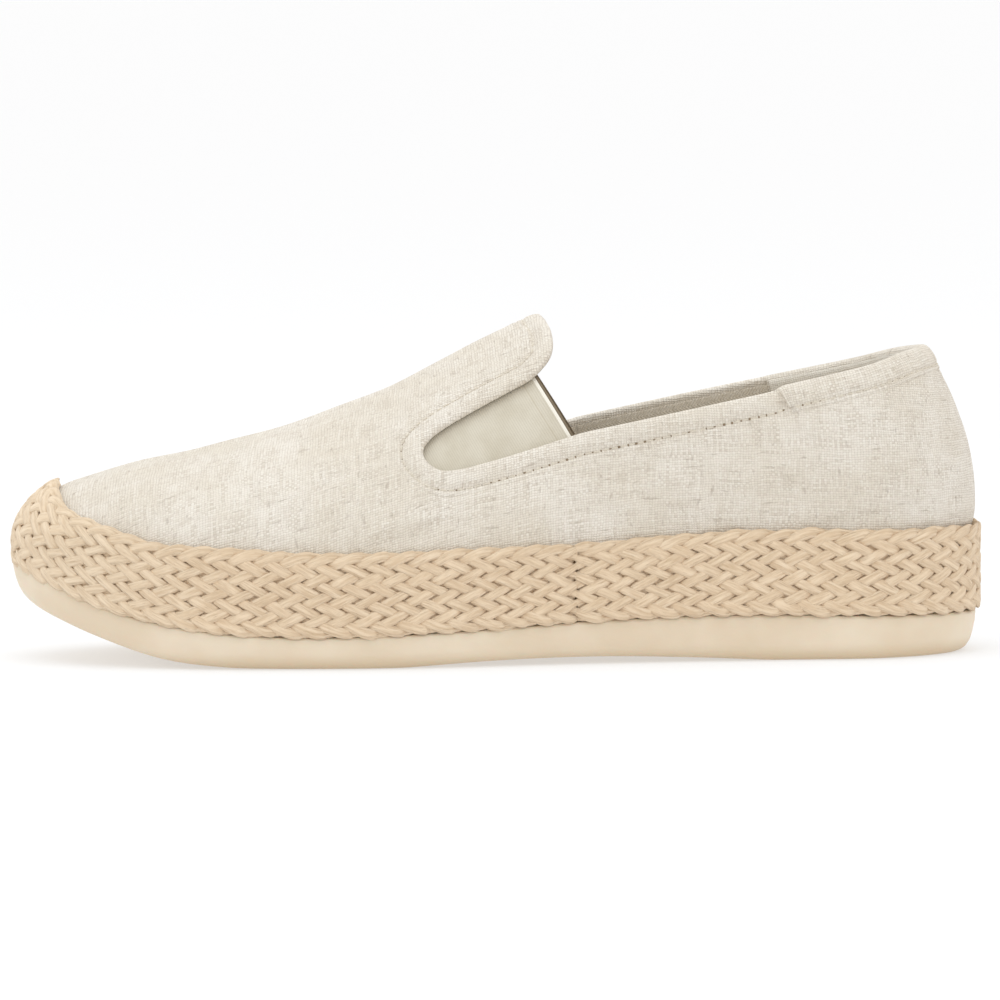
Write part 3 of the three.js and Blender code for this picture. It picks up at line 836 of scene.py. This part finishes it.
def even_topline():
    line = zero_line(CUT)
    for _ in range(6):
        line[1:-1] = (line[:-2] + 2 * line[1:-1] + line[2:]) / 4
    gone = travel(on_last(line[:, 0], line[:, 1]))
    ways = np.linspace(0, gone[-1], int(gone[-1] / EDGE_STEP) + 1)
    return np.column_stack([np.interp(ways, gone, line[:, k]) for k in (0, 1)]), ways


TOPLINE, EDGE_WAY = even_topline()
EDGE = on_last(TOPLINE[:, 0], TOPLINE[:, 1])
EDGE_LENGTH = EDGE_WAY[-1]


def walk(column, row, heading, step):
    """Places on the last moved a short step along a heading, and the heading there."""
    here = on_last(column, row)
    normal = unit(on_last(column, row, 1.0) - here)
    heading = unit(heading - normal * np.sum(heading * normal, axis=-1, keepdims=True))
    lengthwise = on_last(column + 0.5, row) - on_last(column - 0.5, row)
    upward = on_last(column, row + 0.5) - on_last(column, row - 0.5)
    aa, ab = np.sum(lengthwise**2, -1), np.sum(lengthwise * upward, -1)
    bb, ah = np.sum(upward**2, -1), np.sum(lengthwise * heading, -1)
    bh = np.sum(upward * heading, -1)
    area = aa * bb - ab * ab
    return column + step * (bb * ah - ab * bh) / area, row + step * (aa * bh - ab * ah) / area, heading


def from_edge(lowest, highest, step=0.5):
    """Sheet places at even distances in from the topline, [distance][place], and those distances.
    Distances below 0 lie past the edge."""
    along = unit(np.gradient(EDGE, axis=0))
    normal = unit(on_last(TOPLINE[:, 0], TOPLINE[:, 1], 1.0) - EDGE)
    into = unit(np.cross(normal, along))
    found = {0: TOPLINE.T}
    for way in (-1, 1):
        column, row = TOPLINE.T
        heading = into * way
        for k in range(1, int((highest if way > 0 else -lowest) / step) + 1):
            column, row, heading = walk(column, row, heading, step)
            found[k * way] = np.array([column, row])
    order = sorted(found)
    return np.array([found[k] for k in order]), np.array(order) * step


IN_PLACES, IN_WAYS = from_edge(-1.0, 12.0)


def blend_at(grid, column, row):
    """Value of a grid over the last's sheet between its points."""
    i = np.clip(np.floor(column).astype(int), 0, ENDS - 1)
    j = np.clip(np.floor(row).astype(int), 0, LAST_ROW - 1)
    u, v = column - i, row - j
    if grid.ndim == 3:
        u, v = u[..., None], v[..., None]
    lower = grid[j, i] * (1 - u) + grid[j, i + 1] * u
    return lower * (1 - v) + (grid[j + 1, i] * (1 - u) + grid[j + 1, i + 1] * u) * v


def places_in(into, numbers):
    """Sheet places at some distances in from the topline, at numbered topline points."""
    k = np.broadcast_to((np.asarray(into) - IN_WAYS[0]) / (IN_WAYS[1] - IN_WAYS[0]), numbers.shape)
    low = np.clip(np.floor(k).astype(int), 0, len(IN_WAYS) - 2)
    share = (k - low)[:, None]
    return (IN_PLACES[low, :, numbers] * (1 - share) + IN_PLACES[low + 1, :, numbers] * share).T


def edge_strip(section, first, last):
    """A strip that follows the topline: section rows are (distance in from the edge, out), and the
    strip runs between two numbers of topline points."""
    numbers = np.arange(first, last + 1) % len(TOPLINE)
    rows = []
    for into, out in section:
        column, row = places_in(into, numbers)
        rows.append(on_last(column, row, np.broadcast_to(out, numbers.shape)))
    strip = np.array(rows)
    girth = travel(strip[:, len(numbers) // 2][None])[0]
    return strip, np.dstack(np.broadcast_arrays(EDGE_WAY[numbers][None], girth[:, None]))


def landmark(at, height, side):
    """Number of the topline point nearest to a side-view place on one side."""
    half = np.arange(len(EDGE)) < len(EDGE) / 2
    miss = np.hypot(EDGE[:, 0] - at, EDGE[:, 2] - height) + np.where(half == (side < 0), 0, 1e3)
    return int(np.argmin(miss))


SEAM_MARKS = [
    # (station, height, distance from the topline in to the seam), from the heel strip to the tongue
    (207.4, 73.8, 6.1), (154.6, 62.5, 6.0), (112.4, 59, 5.9), (145, 80, 5.6), (146.4, 90, 5.3),
]
MARKS = {side: [landmark(at, height, side) for at, height, _ in SEAM_MARKS] for side in (-1, 1)}
seams = [seam for _, _, seam in SEAM_MARKS]
SEAM_IN = np.interp(
    np.arange(len(EDGE)),
    [0, *MARKS[-1], *MARKS[1][::-1], len(EDGE) - 1],
    [seams[0], *seams, *seams[::-1], seams[0]],
)


def fall_of(points, seed, size, depth):
    """Slow seeded unevenness of cloth: a few crossed waves."""
    rng = np.random.default_rng(seed)
    total = np.zeros(points.shape[:-1])
    for _ in range(9):
        direction = unit(rng.normal(size=3))
        total += np.sin(points @ direction * 2 * np.pi / (size * rng.uniform(0.6, 1.6)) + rng.uniform(0, 6.3))
    return total / 9 * depth


def crease_depths(points):
    """Soft troughs with a low ridge above each."""
    total = np.zeros(points.shape[:-1])
    for start, end, side, deep, wide in CREASES:
        a, b = np.array(start, float), np.array(end, float)
        leg = b - a
        flat = points[..., [0, 2]] - a
        share = (flat @ leg) / (leg @ leg)
        off = (flat[..., 1] * leg[0] - flat[..., 0] * leg[1]) / np.linalg.norm(leg)
        fade = soft_step(share, -0.25, 0.3) * soft_step(1.25 - share, 0, 0.5)
        shape = bell(off, 0, wide) - 0.7 * bell(off, 1.7 * wide, wide)
        total -= deep * fade * shape * (np.sign(points[..., 1]) == side)
    return total


def edge_depths(distance, seam):
    """The cloth lies a little lower under its turned edge, and shows the end of the turn as a ridge."""
    return 0.14 * bell(distance, seam + 2.9, 0.9) - 0.3 * (1 - soft_step(distance, seam + 0.9, seam + 2.2))


def canvas_heights():
    """How far the canvas stands out from the last, and its distance and way along the topline."""
    tree = KDTree(len(EDGE))
    for number, point in enumerate(EDGE):
        tree.insert(point, number)
    tree.balance()
    flat = SHEET.reshape(-1, 3)
    distance, number = np.full(len(flat), 99.0), np.zeros(len(flat), int)
    for k in np.flatnonzero(CUT.ravel() < 16):
        _, number[k], distance[k] = tree.find(flat[k])
    distance, number = distance.reshape(CUT.shape), number.reshape(CUT.shape)
    distance = np.where(CUT < 0, -distance, distance)
    out = edge_depths(distance, SEAM_IN[number]) + crease_depths(SHEET)
    calm = soft_step(SHEET[..., 2], 33, 45) * np.where(CUT < 16, soft_step(distance, 2.5, 13), 1)
    out = out + calm * fall_of(SHEET, 5, 30, 0.5) + calm * fall_of(SHEET, 6, 12, 0.16)
    return out, distance


CANVAS_OUT, FROM_TOPLINE = canvas_heights()


def canvas_weave():
    """Where the threads lie: lengthwise ones level low on the quarters and parallel to the crown line
    on the vamp and beside the crown, crosswise ones upright from the side and straight across."""
    girth = travel(SHEET.transpose(1, 0, 2)).T
    whole = girth[-1]
    from_foot = np.where(np.arange(LAST_ROW + 1)[:, None] <= CROWN_ROW, girth, whole - girth)
    half = np.where(np.arange(LAST_ROW + 1)[:, None] <= CROWN_ROW, GIRTHS[0], GIRTHS[1])
    vamp = 1 - soft_step(SHEET[CROWN_ROW, :, 0], VAMP_UP_TO, QUARTER_FROM)
    vamp = vamp + (1 - vamp) * soft_step(from_foot / half, 0.4, 1.0)
    up = from_foot + vamp * (GIRTHS[0][LEVEL_RIB_STEP] - half)
    legs = np.linalg.norm(np.diff(SHEET, axis=1), axis=-1)
    forward = np.abs(np.diff(SHEET[..., 0], axis=1))
    front = 1 - soft_step(STATIONS[1:], 75, 110)
    steps = front * forward + (1 - front) * legs
    gone = np.concatenate([np.zeros((LAST_ROW + 1, 1)), np.cumsum(steps, axis=1)], axis=1)
    start = int(np.searchsorted(STATIONS, WEAVE_START))
    lengthwise = gone - gone[:, start:start + 1]
    return np.dstack([lengthwise, up])


def cloth(name, warm, cool, thread, deep=1.0, slub=1.0, pitch=THREAD_PITCH):
    """A plain weave of uneven threads, each its own tone, with slubs, and painted shade in the gaps between.
    """
    finish = Finish(name, Roughness=0.93, Sheen_Weight=0.12, Sheen_Roughness=0.6)
    long_way, up_way = finish.uv()
    spot = finish.place()
    bend = finish.noise(finish.vector(long_way * 0.11, up_way * 0.11), 1.0, 2) * 1.3
    sway = finish.noise(finish.vector(long_way * 0.7, up_way * 0.5, 2.0), 1.0, 2) * 0.55
    u = (long_way + bend + sway) / pitch
    v = (up_way + bend - sway) / (pitch * 0.9)
    checks = (u * math.pi).sine() * (v * math.pi).sine()
    standing = checks.over(-0.12, 0.12)
    upright = finish.noise(finish.vector(u.maths("FLOOR", u), v * 0.055, 1.0), 1.0, 3, 0.7)
    level = finish.noise(finish.vector(u * 0.055, v.maths("FLOOR", v), 5.0), 1.0, 3, 0.7)
    yarn = upright * standing + level * (1 - standing)
    knots = finish.noise(finish.vector(u * 0.5, v * 0.16, 7.0), 1.0, 2)
    bars = finish.noise(finish.vector(u * 0.12, v * 0.6, 8.0), 1.0, 2)
    patch = finish.noise(spot, 45, 3)
    tone = finish.mix(patch.over(0.3, 0.7), warm, cool)
    tone = finish.mix(yarn.over(0.44, 0.68) * (0.75 * slub), tone, thread)
    tone = finish.mix((1 - yarn.over(0.3, 0.5)) * (0.5 * slub), tone, paint("#f4efe6"))
    fleck = knots.over(0.62, 0.72) * 0.45 + bars.over(0.62, 0.72) * 0.45
    tone = finish.mix(fleck * slub, tone, paint("#b5a797"))
    round_thread = abs(checks) ** 0.42
    # The gaps between the threads are painted darker: painted shade in the weave.
    gaps = 1 - round_thread.over(0.1, 0.62)
    tone = finish.mix(gaps * 0.34, tone, paint("#a99a83"))
    finish.feed("Base Color", tone)
    finish.feed("Roughness", 0.86 + yarn * 0.12)
    body = round_thread * (0.75 + yarn * 0.6)
    fuzz = finish.bump(finish.noise(spot, 5200, 2), 0.00006, 0.5)
    finish.feed("Normal", finish.bump(body, 0.00022 * deep, 0.85, fuzz))
    return finish


WEAVE = canvas_weave()
LINEN = cloth("undyed_linen", paint("#f0e9de"), paint("#e7decf"), paint("#d2c6b6"))


def keep_below_topline(piece, distance, least):
    """Deletes the faces of a laid sheet that reach nearer to the topline than a distance."""
    bpy.ops.object.select_all(action="DESELECT")
    piece.select_set(True)
    bpy.context.view_layer.objects.active = piece
    gone = distance.ravel() < least
    bpy.ops.object.mode_set(mode="EDIT")
    bpy.ops.mesh.select_mode(type="VERT")
    bpy.ops.mesh.select_all(action="DESELECT")
    bpy.ops.object.mode_set(mode="OBJECT")
    piece.data.vertices.foreach_set("select", gone)
    bpy.ops.object.mode_set(mode="EDIT")
    bpy.ops.mesh.delete(type="VERT")
    bpy.ops.object.mode_set(mode="OBJECT")


columns, rows = np.meshgrid(np.arange(ENDS + 1), np.arange(LAST_ROW + 1))
canvas = lay_grid("linen_upper", on_last(columns, rows, CANVAS_OUT), WEAVE)
keep_below_topline(canvas, FROM_TOPLINE, CUT_BACK)
close_up(canvas)
apply_modifier(canvas, "SOLIDIFY", thickness=CANVAS_THICK * 0.001, offset=-1)
finish_piece(canvas, LINEN, "linen", "upper", angle=70)

# Lining.
# Thin cotton drill cut to the same pattern as the linen and cemented inside it, from the topline down
# to the insole.
LINING_STEP, LINING_OUT, LINING_THICK, LINING_CUT_BACK = 3, -1.25, 0.6, 1.0
DRILL = cloth("cotton_lining", paint("#e9e1d4"), paint("#e0d7c8"), paint("#cdc1ae"), 0.8, 0.4, 0.6)
lining_rows = np.append(np.arange(0, LAST_ROW, LINING_STEP), LAST_ROW)
lining_columns = np.append(np.arange(0, ENDS, LINING_STEP), ENDS)
pick = np.ix_(lining_rows, lining_columns)
spread_columns, spread_rows = np.meshgrid(lining_columns, lining_rows)
lining = lay_grid("cotton_lining", on_last(spread_columns, spread_rows, LINING_OUT), WEAVE[pick])
keep_below_topline(lining, FROM_TOPLINE[pick], LINING_CUT_BACK)
close_up(lining)
apply_modifier(lining, "SOLIDIFY", thickness=LINING_THICK * 0.001, offset=-1)
finish_piece(lining, DRILL, "linen", angle=70)

# Topline edge.
# The linen's own edge turned in and sewn, rolled over from the outside to the lining: puffed between the
# edge and the seam, pulled in along the seam and puckered at each needle hole.
STITCH_PITCH = 2.4
OUTSIDE_FROM, FULL_FROM, STRIP_DIP, PUCKER = -0.4, 0.2, 0.45, 0.12
TURNED = [
    # (share of the distance in to the seam, farther in, out from the last, share of the puckering)
    (1, 1.9, -0.24, 0.0), (1, 1.5, 0.03, 0.0), (1, 1.1, 0.1, 0.2), (1, 0.75, 0.04, 0.6),
    (1, 0.45, -0.14, 1.0), (1, 0.15, -0.32, 1.0), (1, -0.15, -0.34, 1.0), (1, -0.45, -0.16, 1.0),
    (1, -0.85, 0.12, 0.8), (1, -1.4, 0.36, 0.4), (0.72, 0.0, 0.5, 0.1), (0.5, 0.0, 0.58, 0.0),
    (0.3, 0.0, 0.56, 0.0), (0, 1.3, 0.48, 0.0), (0, 0.75, 0.32, 0.0), (0, 0.35, 0.0, 0.0),
    (0, 0.08, -0.42, 0.0), (0, 0.0, -0.9, 0.0), (0, 0.08, -1.4, 0.0), (0, 0.4, -1.85, 0.0),
    (0, 0.9, -2.05, 0.0), (0, 1.6, -2.1, 0.0), (0, 2.4, -2.0, 0.0), (0, 3.0, -1.6, 0.0),
    (1, 1.0, -1.2, 0.0), (1, 1.9, -0.9, 0.0), (1, 1.9, -0.24, 0.0),
]
band = np.arange(MARKS[-1][0] - 3, MARKS[1][0] + 4)
seam_column, seam_row = places_in(SEAM_IN[band], band)
seam_way = travel(on_last(seam_column, seam_row))
rng = np.random.default_rng(11)
fullness = 1 + 0.16 * wander(rng, seam_way[-1], 6)(seam_way)[0]
fullness = fullness + 0.1 * wander(rng, seam_way[-1], 2.4)(seam_way)[0]
calm = np.interp(SEAM_IN[band], [5.3, 5.9], [0.6, 1.0])
before_strip = bell(np.minimum(band - MARKS[-1][0], MARKS[1][0] - band) * EDGE_STEP, 1.0, 1.0)
pucker = -PUCKER * np.cos(2 * np.pi * seam_way / STITCH_PITCH)
rows, threads_run = [], []
for share, farther, out, puckered in TURNED:
    column, row = places_in(share * SEAM_IN[band] + farther, band)
    outside = out > OUTSIDE_FROM
    stand = out * (calm if outside else 1) * (fullness if out > FULL_FROM else 1)
    dip = STRIP_DIP * outside * before_strip
    rows.append(on_last(column, row, stand + calm * puckered * pucker - dip))
    threads_run.append(blend_at(WEAVE, column, row))
rim = close_up(lay_grid("topline_roll", np.array(rows), np.array(threads_run)), fill=True)
finish_piece(rim, LINEN, "linen", angle=70)

# Heel strip.
# A strip of the same linen folded over the back of the collar and sewn through, with its front ends
# standing a little proud of the collar.
HEEL_FOLD = [
    # (distance in from the topline, out from the last)
    (8.2, -0.4), (8.15, 0.1), (7.9, 0.36), (7.4, 0.5), (7.0, 0.4), (6.7, 0.22), (6.4, 0.34), (6.0, 0.66),
    (5.4, 0.88), (4.5, 1.0), (3.4, 1.06), (2.0, 1.0), (1.1, 0.8), (0.4, 0.35), (0.05, -0.3), (0.0, -0.9),
    (0.05, -1.5), (0.4, -2.1), (1.2, -2.6), (2.4, -2.75), (4.5, -2.8), (6.4, -2.7), (7.4, -2.75),
    (8.0, -2.5), (8.2, -1.9), (8.2, -0.4),
]
strip_first, strip_last = MARKS[1][0], len(TOPLINE) + MARKS[-1][0]
far_in = np.arange(strip_last - strip_first + 1) * EDGE_STEP
from_end = np.minimum(far_in, far_in[-1] - far_in)
end_fold = 1 + 0.35 * bell(from_end, 1.0, 1.3)
folded = [(into, out * end_fold if out > 0 else out) for into, out in HEEL_FOLD]
strip, uv = edge_strip(folded, strip_first, strip_last)
uv[..., 0] = np.mod(uv[..., 0] - EDGE_WAY[MARKS[1][0]], EDGE_LENGTH)
heel_strip = close_up(lay_grid("heel_strip", strip, uv), fill=True)
finish_piece(heel_strip, LINEN, "linen", angle=60)

# Heel lining.
# A grip of pale brushed cotton, which keeps the heel from slipping. It is sewn over the inside of the heel
# strip, a little short of its front ends. Its paleness is partly the cotton's own and partly painted light,
# which brightens the shaded inside of the collar at the heel.
PALE_LIT_LINING_SECTION = [
    (0.8, -2.4), (1.0, -2.75), (2.4, -3.0), (4.5, -3.05), (6.6, -3.0), (7.9, -3.0), (8.4, -2.75),
    (8.3, -2.3), (4.5, -2.5), (0.8, -2.4),
]
PALE_LIT_LINING = cloth("pale_cotton_painted_light", paint("#faf5eb"), paint("#f3ecdf"), paint("#e6ddcd"), 0.7, 0.3, 0.6)
strip, uv = edge_strip(PALE_LIT_LINING_SECTION, strip_first + 1, strip_last - 1)
uv[..., 0] = np.mod(uv[..., 0] - EDGE_WAY[MARKS[1][0]], EDGE_LENGTH)
pale_lit_lining = close_up(lay_grid("heel_pale_lit_lining", strip, uv), fill=True)
finish_piece(pale_lit_lining, PALE_LIT_LINING, "linen", angle=60)

# Collar tape.
# Taupe twill tape sewn round the inside of the collar, from gore to gore by the heel. It covers the
# raw edges of linen and lining.
TAPE_SECTION = [
    (2.0, -1.75), (2.1, -2.3), (2.7, -2.5), (9.6, -2.5), (10.3, -2.35), (10.5, -1.75), (2.0, -1.75),
]
TAPE_UNDER_GORE = 10
TWILL = Finish("twill_tape", Roughness=0.92, Sheen_Weight=0.1)
long_way, cross_way = TWILL.uv()
spot = TWILL.place()
zig = abs((cross_way * 0.8).maths("PINGPONG", cross_way * 0.8, 1.6))
ribs = abs(((long_way + zig * 1.2) * (math.pi / 0.9)).sine())
fray = TWILL.noise(TWILL.vector(long_way * 1.3, cross_way * 1.3), 1.0, 3)
tone = TWILL.mix(fray.over(0.3, 0.7), paint("#ddd4c5"), paint("#cabfad"))
# Darker between the ribs: painted shade in the grooves of the twill.
TWILL.feed("Base Color", TWILL.mix((1 - ribs.over(0.0, 0.5)) * 0.45, tone, paint("#a5977f")))
TWILL.feed("Normal", TWILL.bump(ribs ** 0.6, 0.0002, 0.7))
tape_first = MARKS[1][1] - TAPE_UNDER_GORE
tape_last = len(TOPLINE) + MARKS[-1][1] + TAPE_UNDER_GORE
strip, uv = edge_strip(TAPE_SECTION, tape_first, tape_last)
uv[..., 0] = np.mod(uv[..., 0] - EDGE_WAY[MARKS[1][1]], EDGE_LENGTH)
tape = close_up(lay_grid("collar_tape", strip, uv), fill=True)
finish_piece(tape, TWILL, "elastic", angle=50)

# Gores.
# Taupe woven elastic behind each side notch, sewn to the tongue above and to the quarter below. Its
# back edge is the webbing's own selvedge and runs straight across the notch.
GORE_LOWER = [(153.6, 57.8), (137.4, 50.8), (118.4, 46.8), (110.4, 48.4), (106.6, 51.8)]
GORE_UPPER = [(139.6, 81.4), (123.4, 74.7), (111.4, 66.9), (107.4, 61.4), (106.4, 56.8)]
GORE_THICK, GORE_OUT, SELVEDGE = 1.2, -UPPER_WALL - GAP - 0.35, 0.9
ELASTIC = Finish("woven_elastic", Roughness=0.85, Sheen_Weight=0.15)
from_back, up_way = ELASTIC.uv()
cords = abs((from_back * (math.pi / 0.62)).sine())
picks = abs((up_way * (math.pi / 0.4)).sine())
cloud = ELASTIC.noise(ELASTIC.vector(from_back * 0.12, up_way * 0.12), 1.0, 2)
tone = ELASTIC.mix(cloud.over(0.3, 0.7), paint("#d2cbbb"), paint("#c8c0ae"))
# Darker between the cords: painted shade in the grooves of the webbing.
tone = ELASTIC.mix((1 - cords.over(0.0, 0.6)) * 0.3, tone, paint("#aba08a"))
tone = ELASTIC.mix(1 - from_back.over(SELVEDGE * 0.8, SELVEDGE), tone, paint("#f0ebdf"))
# A darker line about 3.5 mm in from the back edge: painted shade in the shallow crease there.
fold_shade = from_back.over(3.3, 3.5) * (1 - from_back.over(3.6, 3.9))
tone = ELASTIC.mix(fold_shade * 0.35, tone, paint("#b3a78e"))
ELASTIC.feed("Base Color", tone)
ELASTIC.feed("Normal", ELASTIC.bump(cords * (0.7 + picks * 0.3), 0.00012, 0.6))


def gore_piece(side):
    """The elastic as a grid from its back edge to the front of the notch."""
    forward = np.linspace(0, 1, 49)
    edges = []
    for line in (curve_through(GORE_LOWER, 12), curve_through(GORE_UPPER, 12)):
        gone = travel(line)
        edges.append(np.column_stack([np.interp(forward * gone[-1], gone, line[:, k]) for k in (0, 1)]))
    low, high = edges
    up = np.linspace(0, 1, 33)[:, None, None]
    flat = low[None] * (1 - up) + high[None] * up
    column, row = side_places(flat[..., 0].ravel(), flat[..., 1].ravel(), side)
    column, row = column.reshape(flat.shape[:2]), row.reshape(flat.shape[:2])
    back = np.array(GORE_UPPER[0]) - np.array(GORE_LOWER[0])
    away = (flat - np.array(GORE_LOWER[0])) @ np.array([-back[1], back[0]]) / np.hypot(*back)
    along = (flat - np.array(GORE_LOWER[0])) @ back / np.hypot(*back)
    bead = 0.16 * bell(away, 0.35, 0.4) - 0.05 * bell(away, 3.6, 0.3)
    sag = 0.35 * np.sin(np.pi * up[..., 0]) * np.sin(np.pi * np.clip(forward, 0, 1))[None] ** 0.6
    points = on_last(column, row, GORE_OUT + bead - sag)
    order = slice(None, None, side)
    name = "gore_outer" if side < 0 else "gore_inner"
    piece = close_up(lay_grid(f"{name}_elastic", points[:, order], np.dstack([abs(away), along])[:, order]))
    apply_modifier(piece, "SOLIDIFY", thickness=GORE_THICK * 0.001, offset=-1)
    finish_piece(piece, ELASTIC, "elastic", name, angle=60)


for side in (-1, 1):
    gore_piece(side)

# Gore edges.
# A thin dark brown tube along the free back edge of each gore, just behind the selvedge, which shows past it
# as a thin dark line. It is painted shade: the shadow in the gap behind the gore's back edge.
GAP_SHADE_ACROSS, GAP_SHADE_BEHIND = 0.8, 0.35
GORE_GAP_SHADE = Finish("gore_edge_gap_shade", Roughness=0.95)
GORE_GAP_SHADE.feed("Base Color", GORE_GAP_SHADE.mix(GORE_GAP_SHADE.noise(GORE_GAP_SHADE.place(), 900), paint("#6d604d"), paint("#857661")))
for side, name in ((-1, "outer"), (1, "inner")):
    run = np.linspace(0.02, 0.98, 41)
    at = GORE_LOWER[0][0] + run * (GORE_UPPER[0][0] - GORE_LOWER[0][0]) + GAP_SHADE_BEHIND
    height = GORE_LOWER[0][1] + run * (GORE_UPPER[0][1] - GORE_LOWER[0][1])
    column, row = side_places(at, height, side)
    spine, above = on_last(column, row, GORE_OUT - 0.5), on_last(column, row, GORE_OUT + 0.5)
    thick = unit(above - spine)
    across = unit(np.cross(thick, unit(np.gradient(spine, axis=0))))
    half = np.full(len(run), GAP_SHADE_ACROSS / 2)
    rings = tube(spine, across, thick, half, half * 1.3, np.ones((STRAND_SIDES + 1, 1)))
    gap_shade_line = close_up(lay_grid(f"gore_{name}_cord", rings[::-1]), fill=True)
    finish_piece(gap_shade_line, GORE_GAP_SHADE, "elastic", angle=60)

# Stitching.
# Linen-coloured thread in lockstitch through the turned edge and the heel strip. The needle holes
# show dark between the stitches.
STITCH_LONG, STITCH_THICK = 1.7, 0.42
HOLE_WIDE, HOLE_DEEP = 0.78, 0.5
EDGE_SEAM_OUT, STRIP_SEAM, STRIP_SEAM_OUT = -0.3, 6.7, 0.27
THREAD = Finish("linen_thread", Roughness=0.7, Sheen_Weight=0.1)
twist = THREAD.noise(THREAD.place(), 2600, 2)
THREAD.feed("Base Color", THREAD.mix(twist, paint("#e9e2d4"), paint("#cfc4b1")))
SHADOW = Finish("needle_hole", Roughness=1.0)
SHADOW.feed("Base Color", SHADOW.mix(SHADOW.noise(SHADOW.place(), 700), paint("#766550"), paint("#a08f77")))


def seam_line(seam, numbers, out):
    """Points of a seam at a distance in from the topline and out from the last, and points above it."""
    column, row = places_in(seam, numbers)
    return on_last(column, row, out), on_last(column, row, out + 1.0)


def beads(name, finish, seam, first, sizes, weights=1.0, *, seed, jitter, sink, uneven):
    """Rounded beads laid along a seam at the stitch pitch, one mesh made from one primitive. weights
    make them smaller on some stretches of the seam."""
    rng = np.random.default_rng(seed)
    line, tips = seam
    gone = travel(line)
    ways = np.arange(first, gone[-1] - 0.5, STITCH_PITCH)
    ways = ways + rng.uniform(-jitter, jitter, len(ways))
    centre = along_line(line, gone, ways)
    weight = np.interp(ways, gone, np.broadcast_to(weights, gone.shape))
    normal = unit(along_line(tips, gone, ways) - centre)
    along = unit(along_line(line, gone, ways + 0.3) - along_line(line, gone, ways - 0.3))
    across = unit(np.cross(normal, along))
    bpy.ops.mesh.primitive_uv_sphere_add(segments=8, ring_count=6, radius=0.5)
    pattern = bpy.context.object
    ball = np.array([v.co for v in pattern.data.vertices])[:, [2, 0, 1]]
    shapes = [list(p.vertices) for p in pattern.data.polygons]
    bpy.data.objects.remove(pattern)
    vertices, faces = [], []
    for k in range(len(ways)):
        size = np.array(sizes) * weight[k] * (1 + uneven * rng.uniform(-1, 1, 3))
        axes = np.array([along[k], across[k], normal[k]])
        arch = ball * size
        arch[:, 2] -= 0.22 * size[2] * (2 * ball[:, 0]) ** 4 + sink
        faces += [[v + len(vertices) * len(ball) for v in shape] for shape in shapes]
        vertices.append(in_frame(centre[k] + arch @ axes))
    mesh = bpy.data.meshes.new(name)
    mesh.from_pydata(np.concatenate(vertices).tolist(), [], faces)
    piece = bpy.data.objects.new(name, mesh)
    bpy.context.collection.objects.link(piece)
    finish_piece(piece, finish, "linen", angle=80)


stitch_size = (STITCH_LONG, STITCH_THICK, STITCH_THICK)
hole_size = (HOLE_WIDE, HOLE_WIDE * 0.85, HOLE_DEEP)
edge_seam = seam_line(SEAM_IN[band], band, EDGE_SEAM_OUT)
open_holes = np.interp(SEAM_IN[band], [5.4, 5.92, 5.96], [0.45, 0.55, 1.0])
beads("edge_stitches", THREAD, edge_seam, STITCH_PITCH * 1.5, stitch_size,
      seed=3, jitter=0.05, sink=-0.14, uneven=0.15)
beads("edge_needle_holes", SHADOW, edge_seam, STITCH_PITCH, hole_size, open_holes,
      seed=4, jitter=0.16, sink=0.1, uneven=0.42)

strip_seam = seam_line(STRIP_SEAM, np.arange(strip_first + 3, strip_last - 2) % len(TOPLINE), STRIP_SEAM_OUT)
gone = travel(strip_seam[0])
open_holes = 1 - 0.5 * soft_step(np.minimum(gone, gone[-1] - gone), 6, 12)
beads("strip_stitches", THREAD, strip_seam, STITCH_PITCH / 2, stitch_size,
      seed=5, jitter=0.06, sink=-0.1, uneven=0.15)
beads("strip_needle_holes", SHADOW, strip_seam, 0.0, hole_size, open_holes,
      seed=6, jitter=0.16, sink=0.1, uneven=0.35)


# Floor, light and camera.
# A white studio floor, which glows a little so that it stays near white, under soft light from all
# round and one larger soft light above.
FLOOR_SIZE = 60.0
bpy.ops.mesh.primitive_plane_add(size=FLOOR_SIZE)
floor = bpy.context.object
floor.name = "floor"
PAPER = Finish("white_paper", Roughness=1.0, Emission_Strength=0.46)
PAPER.shader.inputs["Base Color"].default_value = (0.47, 0.475, 0.485, 1)
PAPER.shader.inputs["Emission Color"].default_value = (1, 1, 1, 1)
floor.data.materials.append(PAPER.material)

world = bpy.data.worlds.new("studio")
bpy.context.scene.world = world
world.use_nodes = True
world.node_tree.nodes["Background"].inputs["Color"].default_value = (1.0, 0.99, 0.975, 1)
world.node_tree.nodes["Background"].inputs["Strength"].default_value = 1.015

LIGHT_PLACE, LIGHT_AIM = Vector((-0.2, -0.25, 1.5)), Vector((0, 0, 0.04))
LIGHT_SIZE, LIGHT_POWER = 1.1, 7.0
bpy.ops.object.light_add(type="AREA", location=LIGHT_PLACE)
light = bpy.context.object
light.name = "overhead"
light.data.shape = "SQUARE"
light.data.size = LIGHT_SIZE
light.data.energy = LIGHT_POWER
light.data.color = (0.86, 0.94, 1.0)
light.rotation_euler = (LIGHT_AIM - LIGHT_PLACE).to_track_quat("-Z", "Y").to_euler()

CAMERA_TURN, CAMERA_RISE, CAMERA_ROLL = math.radians(-1.5), math.radians(4.5), math.radians(-0.42)
CAMERA_AIM, CAMERA_AWAY, CAMERA_WIDE = Vector((0.0011, 0.0, 0.0419)), 2.5, 0.2722
back = Vector((
    math.sin(CAMERA_TURN) * math.cos(CAMERA_RISE),
    -math.cos(CAMERA_TURN) * math.cos(CAMERA_RISE),
    math.sin(CAMERA_RISE),
))
bpy.ops.object.camera_add(location=CAMERA_AIM + back * CAMERA_AWAY)
camera = bpy.context.object
camera.data.lens = camera.data.sensor_width * CAMERA_AWAY / CAMERA_WIDE
facing = (-back).to_track_quat("-Z", "Y").to_matrix() @ Matrix.Rotation(CAMERA_ROLL, 3, "Z")
camera.rotation_euler = facing.to_euler()
bpy.context.scene.camera = camera
bpy.context.scene.view_settings.view_transform = "Standard"
